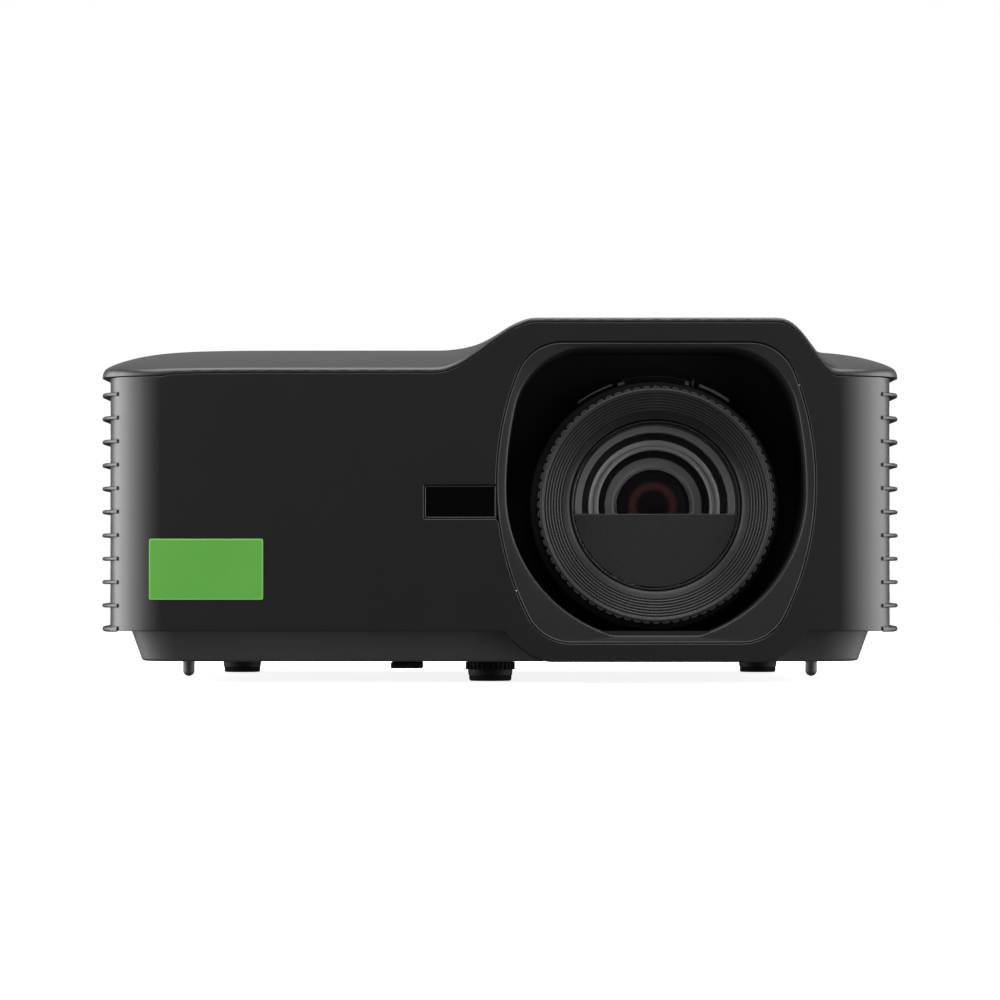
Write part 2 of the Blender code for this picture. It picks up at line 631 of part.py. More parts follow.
def make_lens(satin, glass, black):
    front = FOCUS_FRONT
    face = FOCUS_RADIUS - 0.0012
    turned("focus_ring",
           [(FOCUS_RADIUS, 0.0015), (face, 0), (0.0335, 0.0032), (0.0318, CONE_DEPTH - 0.0006),
            (FOCUS_BORE, CONE_DEPTH), (FOCUS_BORE, FOCUS_LENGTH), (FOCUS_RADIUS - 0.0015, FOCUS_LENGTH),
            (FOCUS_RADIUS, FOCUS_LENGTH - 0.0015)], lens_centre(front), satin, steps=60)
    zoom_front = front + FOCUS_LENGTH + 0.0020
    bore = MOUNT_RADIUS + 2 * GAP
    zoom = turned("zoom_ring", [(bore, 0), (bore, ZOOM_LENGTH), (ZOOM_RADIUS, ZOOM_LENGTH), (ZOOM_RADIUS, 0.001),
                                (ZOOM_RADIUS - 0.001, 0)], lens_centre(zoom_front), satin, steps=60)
    sector = []
    reach = ZOOM_RADIUS + ZOOM_TAB
    for radius, order in ((ZOOM_RADIUS - 0.002, 1), (reach, -1)):
        for i in range(9)[::order]:
            angle = math.radians(90 - 17 + 34 * i / 8)
            sector.append((LENS_X + radius * math.cos(angle), LENS_Z + radius * math.sin(angle)))
    tab = prism("zoom_ring_tab", sector, FRONT + zoom_front + 0.002, FRONT + zoom_front + ZOOM_LENGTH - 0.002, "Y")
    weld(zoom, tab)
    barrel_front = front + CONE_DEPTH + 0.001
    step = front + FOCUS_LENGTH + 0.0010 - barrel_front
    back = barrel_front + BARREL_LENGTH
    turned("lens_barrel", [(BARREL_BORE, 0), (BARREL_RADIUS, 0), (BARREL_RADIUS, step), (MOUNT_RADIUS, step),
                           (MOUNT_RADIUS, BARREL_LENGTH), (0.0200, BARREL_LENGTH), (0.0200, BARREL_LENGTH - 0.003),
                           (BARREL_BORE, BARREL_LENGTH - 0.003)], lens_centre(barrel_front), satin, steps=48)
    seat = BARREL_BORE - GAP
    edge = LENS_Z - 0.0030
    mask = turned("lens_mask_plate", [(0, 0), (seat, 0), (seat, 0.0010), (0, 0.0010)],
                  lens_centre(barrel_front + 0.0015), black, steps=48)
    cut(mask, box("mask_upper_half", (LENS_X - 0.04, FRONT, edge), (LENS_X + 0.04, FRONT + 0.05, LENS_Z + 0.04)))

    def retainer(name, depth, outer, inner, thickness):
        turned(name, [(inner, 0), (outer, -0.0008), (outer, thickness), (inner, thickness)], lens_centre(depth),
               satin, steps=36)

    def element(name, depth, radius, bulge, thickness):
        dome = [(radius * math.sin(math.radians(a)), bulge * (1 - math.cos(math.radians(a))))
                for a in (0, 25, 50, 70, 90)]
        turned(name, dome + [(radius, bulge + thickness), (0, bulge + thickness * 0.6)], lens_centre(depth), glass,
               steps=36)

    start = barrel_front + 0.0045
    retainer("front_lens_retainer", start, seat, 0.0261, 0.0020)
    element("front_lens", start + 0.0030, seat, 0.0035, 0.0035)
    retainer("middle_lens_retainer", start + 0.0115, seat, 0.0200, 0.0020)
    element("middle_lens", start + 0.0145, 0.0240, 0.0030, 0.0030)
    retainer("rear_lens_retainer", start + 0.0225, seat, 0.0132, 0.0020)
    element("rear_lens", start + 0.0255, 0.0180, 0.0030, 0.0030)
    return back


# ---- Inside --------------------------------------------------------------------------------------
def comb(base_low, base_high, tip, width, count, along):
    """The outline of a finned block: a base with plates that stand off it."""
    points = [(0.0, base_low), (width, base_low)]
    pitch = width / (count - 0.5)
    for i in reversed(range(count)):
        left = i * pitch
        right = min(left + pitch / 2, width)
        points += [(right, base_high), (right, tip), (left, tip), (left, base_high)]
    points = points[:2] + points[3:] if abs(points[2][0] - width) < 1e-9 else points
    cleaned = [points[0], points[1]] + points[2:-1]
    return [(along + a, b) for a, b in cleaned]


def make_inside(back, plate, board, steel, black):
    engine_front = back + 0.002
    engine = box("light_engine_housing", (LENS_X - 0.037, FRONT + engine_front, 0.030),
                 (LENS_X + 0.037, FRONT + engine_front + 0.080, 0.100), plate, 0.002)
    chip = engine_front + 0.080 + 0.0012
    box("dmd_board", (LENS_X - 0.034, FRONT + chip, 0.036), (LENS_X + 0.034, FRONT + chip + BOARD_THICKNESS, 0.096),
        board)
    sink = FRONT + chip + BOARD_THICKNESS + 0.0006
    outline = comb(0.0, 0.004, 0.020, 0.044, 9, LENS_X - 0.022)
    prism("dmd_heat_sink", [(x, sink + y) for x, y in outline], 0.044, 0.088, "Z", steel)
    wheel_x = LENS_X - 0.067
    turned("phosphor_wheel", [(0, 0), (0.022, 0), (0.022, 0.0010), (0, 0.0010)],
           (wheel_x, FRONT + 0.062, 0.066), steel, steps=40)
    turned("phosphor_wheel_motor", [(0, 0.0), (0.009, 0.0), (0.009, 0.012), (0.003, 0.012), (0.003, 0.014), (0, 0.014)],
           (wheel_x, FRONT + 0.0645, 0.066), black, steps=24)
    box("laser_module", (wheel_x - 0.020, FRONT + 0.086, 0.040),
        (wheel_x + 0.020, FRONT + 0.122, 0.092), plate, 0.001)
    outline = comb(0.0, 0.004, 0.034, 0.050, 11, -0.025)
    laser_sink = prism("laser_heat_sink", [(-y, x) for x, y in outline], 0.038, 0.094, "Z", steel)
    laser_sink.location = (wheel_x - 0.0206, FRONT + 0.104, 0)
    beside_fans = HALF - WALL - FAN_THICKNESS - 4 * GAP
    top = PORT_BOTTOM - GAP
    main = box("main_board", (max(-0.093, -beside_fans), FRONT + DEPTH - 0.062, top - BOARD_THICKNESS),
               (min(0.084, beside_fans), FRONT + DEPTH - 0.006, top), board)
    weld(main, boxes("main_board_chips", [
        ((x, FRONT + DEPTH - 0.058 + dy, PORT_BOTTOM - GAP - 0.0005),
         (x + w, FRONT + DEPTH - 0.058 + dy + w, PORT_BOTTOM + 0.0018))
        for x, dy, w in ((-0.060, 0.004, 0.018), (-0.025, 0.006, 0.012), (0.000, 0.004, 0.014), (0.052, 0.008, 0.010))]))
    power_low = 0.0150
    supply = box("power_supply_board", (0.012 - HALF, FRONT + 0.030, power_low),
                 (0.062 - HALF, FRONT + 0.094, power_low + BOARD_THICKNESS), board)
    weld(supply, boxes("power_supply_parts", [
        ((0.018 - HALF, FRONT + 0.036, power_low + 0.001), (0.040 - HALF, FRONT + 0.056, power_low + 0.024)),
        ((0.044 - HALF, FRONT + 0.040, power_low + 0.001), (0.056 - HALF, FRONT + 0.052, power_low + 0.020)),
        ((0.020 - HALF, FRONT + 0.064, power_low + 0.001), (0.054 - HALF, FRONT + 0.086, power_low + 0.014))]))
    turned("speaker", [(0, 0), (0.012, 0), (0.019, 0.012), (0.020, 0.012), (0.020, 0.014), (0.015, 0.014),
                       (0.006, 0.009), (0, 0.009)], (-0.0377, FRONT + DEPTH - 0.018, 0.0735), black, steps=32)
    return engine


def rotor_outline(radius, hub, blades=7):
    """A fan rotor seen along its axis: a hub with swept blades."""
    points = []
    pitch = 2 * math.pi / blades
    for i in range(blades):
        root = i * pitch
        for angle, r in ((root, hub), (root + 0.20 * pitch, (hub + radius) / 2), (root + 0.45 * pitch, radius),
                         (root + 0.95 * pitch, radius), (root + 0.72 * pitch, (hub + radius) / 2),
                         (root + 0.55 * pitch, hub)):
            points.append((r * math.cos(angle), r * math.sin(angle)))
    return points


def make_fan(name, side, depth, black):
    outside = HALF - WALL - 2 * GAP
    centre_z = EDGE - FLANGE - FAN_SIZE / 2 - 0.006
    x0, x1 = side * outside, side * (outside - FAN_THICKNESS)
    low, high = min(x0, x1), max(x0, x1)
    half = FAN_SIZE / 2
    y = FRONT + depth
    bore = half - 0.0025
    frame = box(f"{name}_frame", (low, y - half, centre_z - half), (high, y + half, centre_z + half), black)
    motor = 0.014
    tunnel = turned(f"{name}_tunnel", [(0, -0.001), (bore, -0.001), (bore, FAN_THICKNESS + 0.001),
                                       (0, FAN_THICKNESS + 0.001)], (low, y, centre_z), axis="X", steps=40)
    cut(frame, tunnel)
    inner = low if side > 0 else high
    spoke = 0.0015
    reach = half - 0.001
    slab = sorted((inner + side * GAP, inner + side * 0.0025))
    arms = boxes(f"{name}_arms", [((slab[0], y - reach, centre_z - spoke), (slab[1], y + reach, centre_z + spoke)),
                                  ((slab[0], y - spoke, centre_z - reach), (slab[1], y + spoke, centre_z + reach))])
    weld(frame, arms)
    start = inner + side * 0.004
    rotor_length = FAN_THICKNESS - 0.006
    outline = rotor_outline(bore - FAN_CLEARANCE, motor)
    prism(f"{name}_rotor", [(a, b) for a, b in outline], min(0.0, side * rotor_length), max(0.0, side * rotor_length),
          "X", black).location = (start, y, centre_z)
    return frame


def make_ports(black, steel):
    rear = FRONT + DEPTH - PORT_FACE
    depths = {"power_inlet": 0.022, "serial_port": 0.010, "audio_jack": 0.012}
    for name, (index, width, height) in PORT_SIZES.items():
        x = port_x(index)
        material = black if name in ("power_inlet", "audio_jack") else steel
        length = depths.get(name, 0.014)
        body = box(name, (x - width / 2, rear - length, PORT_BOTTOM), (x + width / 2, rear, PORT_BOTTOM + height),
                   material)
        middle = PORT_BOTTOM + height / 2
        if name == "power_inlet":
            wall = 0.0018
            pocket = box("inlet_pocket", (x - width / 2 + wall, rear - 0.018, PORT_BOTTOM + wall),
                         (x + width / 2 - wall, rear + WALL, PORT_BOTTOM + height - wall))
            cut(body, pocket)
            pins = [((x + dx - 0.001, rear - 0.0190, middle + dz - 0.002), (x + dx + 0.001, rear - 0.0055,
                     middle + dz + 0.002)) for dx, dz in ((-0.007, -0.002), (0.0, 0.003), (0.007, -0.002))]
            weld(body, boxes("inlet_pins", pins))
        elif name == "audio_jack":
            hole = turned("audio_jack_hole", [(0, -0.010), (0.0018, -0.010), (0.0018, 0.002), (0, 0.002)],
                          (x, rear, middle), steps=16)
            cut(body, hole)
        elif name == "serial_port":
            shell = 0.0020
            cut(body, box("serial_port_mouth", (x - width / 2 + 4 * shell, rear - 0.0030, PORT_BOTTOM + shell),
                          (x + width / 2 - 4 * shell, rear + WALL, PORT_BOTTOM + height - shell)))
        else:
            shell = 0.0006
            pocket = box(f"{name}_mouth", (x - width / 2 + shell, rear - 0.010, PORT_BOTTOM + shell),
                         (x + width / 2 - shell, rear + WALL, PORT_BOTTOM + height - shell))
            cut(body, pocket)
            tongue = 0.0008
            weld(body, box(f"{name}_tongue", (x - width / 2 + 0.0025, rear - 0.0110, middle - tongue),
                           (x + width / 2 - 0.0025, rear - 0.0015, middle + tongue)))


KEYS = (
    ("power_button", 0.0, 0.017, 0.0045),
    ("source_button", -0.026, 0.008, 0.0040),
    ("menu_button", 0.026, 0.008, 0.0040),
    ("arrow_up_button", 0.0, 0.0045, 0.0032),
    ("arrow_down_button", 0.0, -0.0165, 0.0032),
    ("arrow_left_button", -0.0115, -0.006, 0.0032),
    ("arrow_right_button", 0.0115, -0.006, 0.0032),
    ("enter_button", 0.0, -0.006, 0.0038),
)


def make_keypad(gloss, satin, light):
    centre = Vector((KEY_X, FRONT + KEY_DEPTH, 0))
    corners = [top_height(KEY_X + sx * KEY_PLATE[0] / 2, KEY_DEPTH + sy * KEY_PLATE[1] / 2)
               for sx in (-1, 0, 1) for sy in (-1, 0, 1)]
    face = min(corners)
    thickness = 0.0030
    plate = prism("keypad_plate", rounded_rectangle(KEY_PLATE[0] / 2, KEY_PLATE[1] / 2, 0.0037, 4, centre[:2]),
                  face - thickness, face, "Z", gloss)
    for name, dx, dy, radius in KEYS:
        place = (centre.x + dx, centre.y + dy, face)
        cut(plate, turned(f"{name}_hole", [(0, -2 * thickness), (radius + GAP, -2 * thickness),
                                           (radius + GAP, thickness), (0, thickness)], place, axis="Z", steps=16))
        top = 0.0010
        turned(name, [(0, -thickness), (radius, -thickness), (radius, top - 0.0004), (radius - 0.0004, top), (0, top)],
               place, satin, "Z", 16)
    lamp = (centre.x + 0.026, centre.y + 0.018, face)
    cut(plate, turned("status_light_hole", [(0, -2 * thickness), (0.0012 + GAP, -2 * thickness),
                                            (0.0012 + GAP, thickness), (0, thickness)], lamp, axis="Z", steps=12))
    turned("status_light", [(0, -thickness), (0.0012, -thickness), (0.0012, 0.0002), (0, 0.0002)],
           lamp, light, "Z", 12)


def build():
    for obj in list(bpy.data.objects):
        bpy.data.objects.remove(obj)
    black = finish("satin_black_casing", (0.018, 0.018, 0.019), 0.42)
    case_black = finish("case_black", (0.030, 0.030, 0.032), 0.50)
    grain = finish("grained_black", (0.020, 0.020, 0.021), 0.62)
    gloss = finish("gloss_black", (0.004, 0.004, 0.005), 0.08)
    green = finish("label_green", (0.117, 0.381, 0.065), 0.45)
    satin = finish("lens_ring_black", (0.022, 0.022, 0.023), 0.38)
    glass = finish("coated_glass", (0.030, 0.020, 0.026), 0.04)
    rubber = finish("foot_rubber", (0.012, 0.012, 0.012), 0.75)
    steel = finish("plated_steel", (0.55, 0.56, 0.57), 0.30, 1.0)
    plate = finish("cast_magnesium", (0.30, 0.31, 0.32), 0.45, 0.9)
    board = finish("circuit_board", (0.015, 0.110, 0.050), 0.50)
    light = finish("status_lens", (0.10, 0.35, 0.60), 0.20)
    make_front_bezel(black)
    make_window_and_label(gloss, green)
    make_recess_trim(grain)
    make_top_cover(black)
    make_bottom_case(case_black)
    make_fin_grille("left_fin_grille", -1, black)
    make_fin_grille("right_fin_grille", 1, black)
    make_rear_panel(black, gloss)
    make_feet_and_underside(rubber, case_black, steel)
    back = make_lens(satin, glass, grain)
    make_inside(back, plate, board, steel, grain)
    make_fan("exhaust_fan", -1, DEPTH - 0.076, grain)
    make_fan("intake_fan", 1, DEPTH - 0.062, grain)
    make_ports(grain, steel)
    make_keypad(gloss, satin, light)


build()
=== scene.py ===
"""Visual model of a compact home projector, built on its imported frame.

Every size is in metres in the frame's axes: +X right, +Y backwards, +Z up. Depths are measured from the front
face. Each sub-assembly is a class whose methods build its meshes, dress them and fix them to the
frame's bodies.
"""
from __future__ import annotations

import json
import logging
import math
from dataclasses import dataclass
from enum import Enum
from typing import Callable, Sequence

import bmesh
import bpy
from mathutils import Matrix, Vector, kdtree
from mathutils.geometry import delaunay_2d_cdt


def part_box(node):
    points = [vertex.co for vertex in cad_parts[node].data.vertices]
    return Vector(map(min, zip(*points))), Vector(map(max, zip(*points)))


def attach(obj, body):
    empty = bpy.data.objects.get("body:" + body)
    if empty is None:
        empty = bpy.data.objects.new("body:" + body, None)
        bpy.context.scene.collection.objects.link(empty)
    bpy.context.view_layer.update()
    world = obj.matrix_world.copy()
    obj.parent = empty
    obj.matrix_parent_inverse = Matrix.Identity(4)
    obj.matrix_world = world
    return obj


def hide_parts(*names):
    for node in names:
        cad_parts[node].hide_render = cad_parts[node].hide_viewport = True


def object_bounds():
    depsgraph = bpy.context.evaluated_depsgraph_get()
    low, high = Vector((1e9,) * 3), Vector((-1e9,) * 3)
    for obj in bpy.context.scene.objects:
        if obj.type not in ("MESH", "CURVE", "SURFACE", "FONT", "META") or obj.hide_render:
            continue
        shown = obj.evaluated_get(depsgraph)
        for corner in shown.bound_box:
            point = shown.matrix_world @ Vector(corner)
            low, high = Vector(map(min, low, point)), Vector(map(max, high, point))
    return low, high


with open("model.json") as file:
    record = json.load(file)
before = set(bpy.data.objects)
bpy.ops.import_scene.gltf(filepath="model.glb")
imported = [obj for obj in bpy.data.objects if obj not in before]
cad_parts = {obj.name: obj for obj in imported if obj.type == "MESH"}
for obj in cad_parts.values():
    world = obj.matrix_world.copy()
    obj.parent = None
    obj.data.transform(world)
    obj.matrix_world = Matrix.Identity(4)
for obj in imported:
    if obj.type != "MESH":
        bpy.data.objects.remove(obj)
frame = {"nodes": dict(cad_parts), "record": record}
CAD_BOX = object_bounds()
log = logging.getLogger("projector")

Point2 = tuple[float, float]
Colour = tuple[float, float, float]
FRONT = CAD_BOX[0].y
GAP = 0.0003
WALL = 0.0025


# ---- Finishes ------------------------------------------------------------------------------------
class Grain(Enum):
    """The kind of fine relief that a surface carries."""

    SATIN = "satin"
    PEBBLE = "pebble"
    BRUSHED = "brushed"
    CAST = "cast"
    POLISHED = "polished"


GRAIN_SIZES: dict[Grain, tuple[float, float, float]] = {
    Grain.SATIN: (2600.0, 0.000006, 2.0),
    Grain.PEBBLE: (1500.0, 0.000050, 2.0),
    Grain.BRUSHED: (900.0, 0.000012, 3.0),
    Grain.CAST: (900.0, 0.000060, 3.0),
    Grain.POLISHED: (400.0, 0.000001, 1.0),
}


@dataclass(frozen=True)
class Finish:
    """A material made of grain, uneven colour, uneven gloss and rubbed edges.

    Attributes:
        name: Name of the material.
        slot: The record's material slot that it belongs to.
        colour: Mean colour, linear.
        roughness: Mean roughness.
        grain: Kind of fine relief.
        metallic: 1 for bare metal.
        mottle: Share by which the colour wanders.
        wear: How far convex edges are rubbed lighter.
        specular: Strength of the gloss.
        coat: Strength of a clear lacquer.
        alpha: Opacity.
    """

    name: str
    slot: str
    colour: Colour
    roughness: float
    grain: Grain = Grain.SATIN
    metallic: float = 0.0
    mottle: float = 0.10
    wear: float = 0.0
    specular: float = 0.5
    coat: float = 0.0
    alpha: float = 1.0

    def material(self) -> bpy.types.Material:
        """Returns the finish's material, building it the first time.

        Returns:
            The material.
        """
        known = bpy.data.materials.get(self.name)
        if known:
            return known
        material = bpy.data.materials.new(self.name)
        material.use_nodes = True
        nodes, links = material.node_tree.nodes, material.node_tree.links
        shader = nodes["Principled BSDF"]
        shader.inputs["Metallic"].default_value = self.metallic
        shader.inputs["Specular IOR Level"].default_value = self.specular
        shader.inputs["Coat Weight"].default_value = self.coat
        shader.inputs["Coat Roughness"].default_value = 0.08
        shader.inputs["Alpha"].default_value = self.alpha
        place = nodes.new("ShaderNodeTexCoord").outputs["Object"]
        scale, depth, detail = GRAIN_SIZES[self.grain]
        if self.grain is Grain.BRUSHED:
            stretch = nodes.new("ShaderNodeMapping")
            stretch.inputs["Scale"].default_value = (0.08, 1.0, 1.0)
            links.new(place, stretch.inputs["Vector"])
            place = stretch.outputs["Vector"]
        relief = self._noise(material, place, scale, detail)
        cloud = self._noise(material, place, 38.0, 3.0)
        bump = nodes.new("ShaderNodeBump")
        bump.inputs["Strength"].default_value = 1.0
        bump.inputs["Distance"].default_value = depth
        links.new(relief, bump.inputs["Height"])
        links.new(bump.outputs["Normal"], shader.inputs["Normal"])
        tint = nodes.new("ShaderNodeValToRGB")
        tint.color_ramp.elements[0].position, tint.color_ramp.elements[1].position = 0.3, 0.7
        tint.color_ramp.elements[0].color = (*(c * (1 - self.mottle) for c in self.colour), 1)
        tint.color_ramp.elements[1].color = (*(c * (1 + self.mottle) for c in self.colour), 1)
        links.new(cloud, tint.inputs["Fac"])
        colour = tint.outputs["Color"]
        if self.wear:
            colour = self._rub(material, colour)
        links.new(colour, shader.inputs["Base Color"])
        gloss = nodes.new("ShaderNodeMapRange")
        gloss.inputs["From Min"].default_value, gloss.inputs["From Max"].default_value = 0.25, 0.75
        gloss.inputs["To Min"].default_value = max(0.02, self.roughness * 0.93)
        gloss.inputs["To Max"].default_value = min(1.0, self.roughness * 1.07)
        links.new(relief, gloss.inputs["Value"])
        links.new(gloss.outputs["Result"], shader.inputs["Roughness"])
        return material

    @staticmethod
    def _noise(material: bpy.types.Material, place: bpy.types.NodeSocket, scale: float,
               detail: float) -> bpy.types.NodeSocket:
        """Adds a noise of a scale per metre.

        Args:
            material: The material to add it to.
            place: The coordinates that it reads.
            scale: Bumps per metre.
            detail: Octaves.

        Returns:
            The noise's value socket.
        """
        node = material.node_tree.nodes.new("ShaderNodeTexNoise")
        node.inputs["Scale"].default_value = scale
        node.inputs["Detail"].default_value = detail
        material.node_tree.links.new(place, node.inputs["Vector"])
        return node.outputs["Fac"]

    def _rub(self, material: bpy.types.Material, colour: bpy.types.NodeSocket) -> bpy.types.NodeSocket:
        """Lightens convex edges.

        Args:
            material: The material to add it to.
            colour: The colour away from the edges.

        Returns:
            The colour socket with worn edges.
        """
        nodes, links = material.node_tree.nodes, material.node_tree.links
        edge = nodes.new("ShaderNodeMapRange")
        edge.inputs["From Min"].default_value, edge.inputs["From Max"].default_value = 0.53, 0.62
        edge.inputs["To Max"].default_value = self.wear
        links.new(nodes.new("ShaderNodeNewGeometry").outputs["Pointiness"], edge.inputs["Value"])
        mix = nodes.new("ShaderNodeMix")
        mix.data_type = "RGBA"
        links.new(edge.outputs["Result"], mix.inputs[0])
        links.new(colour, mix.inputs[6])
        mix.inputs[7].default_value = (*(min(1.0, c * 2.5 + 0.03) for c in self.colour), 1)
        return mix.outputs[2]


@dataclass(frozen=True)
class RingedGlass:
    """Glass with rings of colour painted round the optical axis. On the rear element the red-brown ring is a
    painted reflection.

    Attributes:
        name: Name of the material.
        centre: Point on the axis.
        stops: (radius, colour) pairs from the axis outwards.
        alpha: Opacity.
        roughness: Roughness of the polished face.
    """

    name: str
    centre: Vector
    stops: tuple[tuple[float, Colour], ...]
    alpha: float
    roughness: float = 0.06
    slot: str = "coated_glass"

    def material(self) -> bpy.types.Material:
        """Returns the glass's material, building it the first time.

        Returns:
            The material.
        """
        known = bpy.data.materials.get(self.name)
        if known:
            return known
        material = bpy.data.materials.new(self.name)
        material.use_nodes = True
        nodes, links = material.node_tree.nodes, material.node_tree.links
        shader = nodes["Principled BSDF"]
        shader.inputs["Roughness"].default_value = self.roughness
        shader.inputs["Alpha"].default_value = self.alpha
        place = nodes.new("ShaderNodeMapping")
        place.inputs["Location"].default_value = (-self.centre.x, 0.0, -self.centre.z)
        place.inputs["Scale"].default_value = (1.0, 0.0, 1.0)
        links.new(nodes.new("ShaderNodeTexCoord").outputs["Object"], place.inputs["Vector"])
        radius = nodes.new("ShaderNodeVectorMath")
        radius.operation = "LENGTH"
        links.new(place.outputs["Vector"], radius.inputs[0])
        reach = self.stops[-1][0]
        share = nodes.new("ShaderNodeMapRange")
        share.inputs["From Max"].default_value = reach
        links.new(radius.outputs["Value"], share.inputs["Value"])
        ramp = nodes.new("ShaderNodeValToRGB")
        while len(ramp.color_ramp.elements) < len(self.stops):
            ramp.color_ramp.elements.new(0.5)
        for element, (distance, colour) in zip(ramp.color_ramp.elements, self.stops):
            element.position = distance / reach
            element.color = (*colour, 1)
        links.new(share.outputs["Result"], ramp.inputs["Fac"])
        links.new(ramp.outputs["Color"], shader.inputs["Base Color"])
        return material


SHELL_BLACK = Finish("shell_satin_black", "satin_black_casing", (0.0055, 0.0055, 0.0057), 0.39, mottle=0.06)
COVER_BLACK = Finish("cover_satin_black", "satin_black_casing", (0.0110, 0.0110, 0.0113), 0.42, mottle=0.06)
FIN_BLACK = Finish("fin_satin_black", "satin_black_casing", (0.0080, 0.0080, 0.0083), 0.45, wear=0.05)
CASE_BLACK = Finish("case_matt_black", "case_black", (0.040, 0.040, 0.041), 0.50, Grain.PEBBLE)
TRIM_BLACK = Finish("trim_grained_black", "grained_black", (0.0075, 0.0075, 0.0078), 0.46, Grain.PEBBLE,
                    wear=0.10)
# Lighter grey for a thin ring along the trim's outer edge: a painted highlight standing in for light caught
# by the rounded edge.
TRIM_PAINTED_HIGHLIGHT = Finish("trim_painted_highlight", "grained_black", (0.075, 0.075, 0.076), 0.40, mottle=0.25)
TUNNEL_BLACK = Finish("tunnel_matt_black", "grained_black", (0.004, 0.004, 0.0042), 0.70, Grain.PEBBLE)
WINDOW_BLACK = Finish("window_gloss_black", "gloss_black", (0.001, 0.001, 0.001), 0.08, Grain.POLISHED,
                      specular=0.2)
FRAME_GREY = Finish("window_frame_grey", "satin_black_casing", (0.030, 0.030, 0.031), 0.35)
LABEL_GREEN = Finish("label_printed_green", "label_green", (0.100, 0.340, 0.050), 0.45, mottle=0.03,
                     specular=0.3)
LABEL_EDGE = Finish("label_edge_green", "label_green", (0.180, 0.480, 0.110), 0.45, mottle=0.03,
                    specular=0.3)
RING_BLACK = Finish("ring_satin_black", "lens_ring_black", (0.016, 0.016, 0.0165), 0.42, wear=0.10)
# Lighter grey for the zoom ring's stops and fences: a painted highlight along their edges.
EDGE_HIGHLIGHT_GREY = Finish("ring_painted_highlight_grey", "lens_ring_black", (0.170, 0.170, 0.173), 0.35)
# Darker copy of the ring black: painted shade for the zoom ring deep in the recess. It colours the grip tab.
SHADED_RING_BLACK = Finish("ring_black_painted_shade", "lens_ring_black", (0.004, 0.004, 0.0042), 0.65, specular=0.2)
MASK_BLACK = Finish("mask_satin_black", "lens_ring_black", (0.010, 0.010, 0.0103), 0.45, Grain.PEBBLE)
BARREL_GREY = Finish("retainer_grey", "lens_ring_black", (0.130, 0.130, 0.132), 0.38, mottle=0.05)
# The middle and rear retainers are painted lighter the deeper they sit. Their greys are painted light,
# standing in for light that they reflect.
MIDDLE_RETAINER_PAINTED_LIGHT = Finish("retainer_mid_grey_painted_light", "lens_ring_black", (0.62, 0.62, 0.625), 0.32, mottle=0.05)
REAR_RETAINER_PAINTED_LIGHT = Finish("retainer_pale_grey_painted_light", "lens_ring_black", (0.90, 0.90, 0.90), 0.30, mottle=0.05)
KEY_BLACK = Finish("key_satin_black", "satin_black_casing", (0.020, 0.020, 0.021), 0.35, wear=0.15)
KEY_MARK = Finish("key_mark_grey", "satin_black_casing", (0.35, 0.35, 0.36), 0.5)
PLATE_GLOSS = Finish("plate_gloss_black", "gloss_black", (0.004, 0.004, 0.005), 0.14, Grain.POLISHED,
                     coat=0.5)
FOOT_BLACK = Finish("foot_moulded_black", "case_black", (0.0030, 0.0030, 0.0031), 0.60, Grain.PEBBLE,
                    specular=0.10)
RUBBER = Finish("foot_matt_rubber", "foot_rubber", (0.0045, 0.0045, 0.0046), 0.85, Grain.PEBBLE, mottle=0.15,
                specular=0.06)
STEEL = Finish("screw_plated_steel", "plated_steel", (0.50, 0.51, 0.53), 0.30, Grain.BRUSHED, metallic=1.0)
CASTING = Finish("engine_cast_metal", "cast_magnesium", (0.30, 0.31, 0.32), 0.45, Grain.CAST, metallic=1.0)
BOARD_GREEN = Finish("board_solder_mask", "circuit_board", (0.010, 0.085, 0.035), 0.35, Grain.BRUSHED,
                     mottle=0.25)
LAMP_BLUE = Finish("lamp_clear_blue", "status_lens", (0.08, 0.30, 0.55), 0.15, Grain.POLISHED, coat=0.8)


# ---- Mesh making ---------------------------------------------------------------------------------
def link_mesh(name: str, points: Sequence[Sequence[float]], faces: Sequence[Sequence[int]],
              finish: Finish | RingedGlass, sharp: float = 32.0) -> bpy.types.Object:
    """Makes an object from points and faces, closed up, facing outwards and smooth where it is nearly flat.

    Args:
        name: Name of the piece.
        points: Its points.
        faces: Indices of its points, face by face.
        finish: What it is made of.
        sharp: Angle in degrees above which an edge stays sharp.

    Returns:
        The new object at the origin.
    """
    mesh = bpy.data.meshes.new(name)
    mesh.from_pydata([tuple(p) for p in points], [], [list(f) for f in faces])
    bm = bmesh.new()
    bm.from_mesh(mesh)
    bmesh.ops.remove_doubles(bm, verts=bm.verts, dist=1e-7)
    bmesh.ops.recalc_face_normals(bm, faces=bm.faces)
    bm.to_mesh(mesh)
    bm.free()
    mesh.materials.append(finish.material())
    piece = bpy.data.objects.new(name, mesh)
    bpy.context.scene.collection.objects.link(piece)
    soften(piece, sharp)
    return piece


def soften(piece: bpy.types.Object, sharp: float) -> None:
    """Shades a piece smooth except at edges over an angle.

    Args:
        piece: The piece.
        sharp: The angle in degrees.
    """
    piece.data.polygons.foreach_set("use_smooth", [True] * len(piece.data.polygons))
    piece.data.set_sharp_from_angle(angle=math.radians(sharp))


def fix(piece: bpy.types.Object, body: str, finish: Finish | RingedGlass, *nodes: str) -> bpy.types.Object:
    """Fixes a finished piece to a body, in place of the frame's nodes.

    Args:
        piece: The piece.
        body: The body that it moves with.
        finish: Not used.
        nodes: The frame's nodes that it stands for.

    Returns:
        The piece.
    """
    even_out(piece)
    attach(piece, body)
    if nodes:
        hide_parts(*nodes)
    return piece


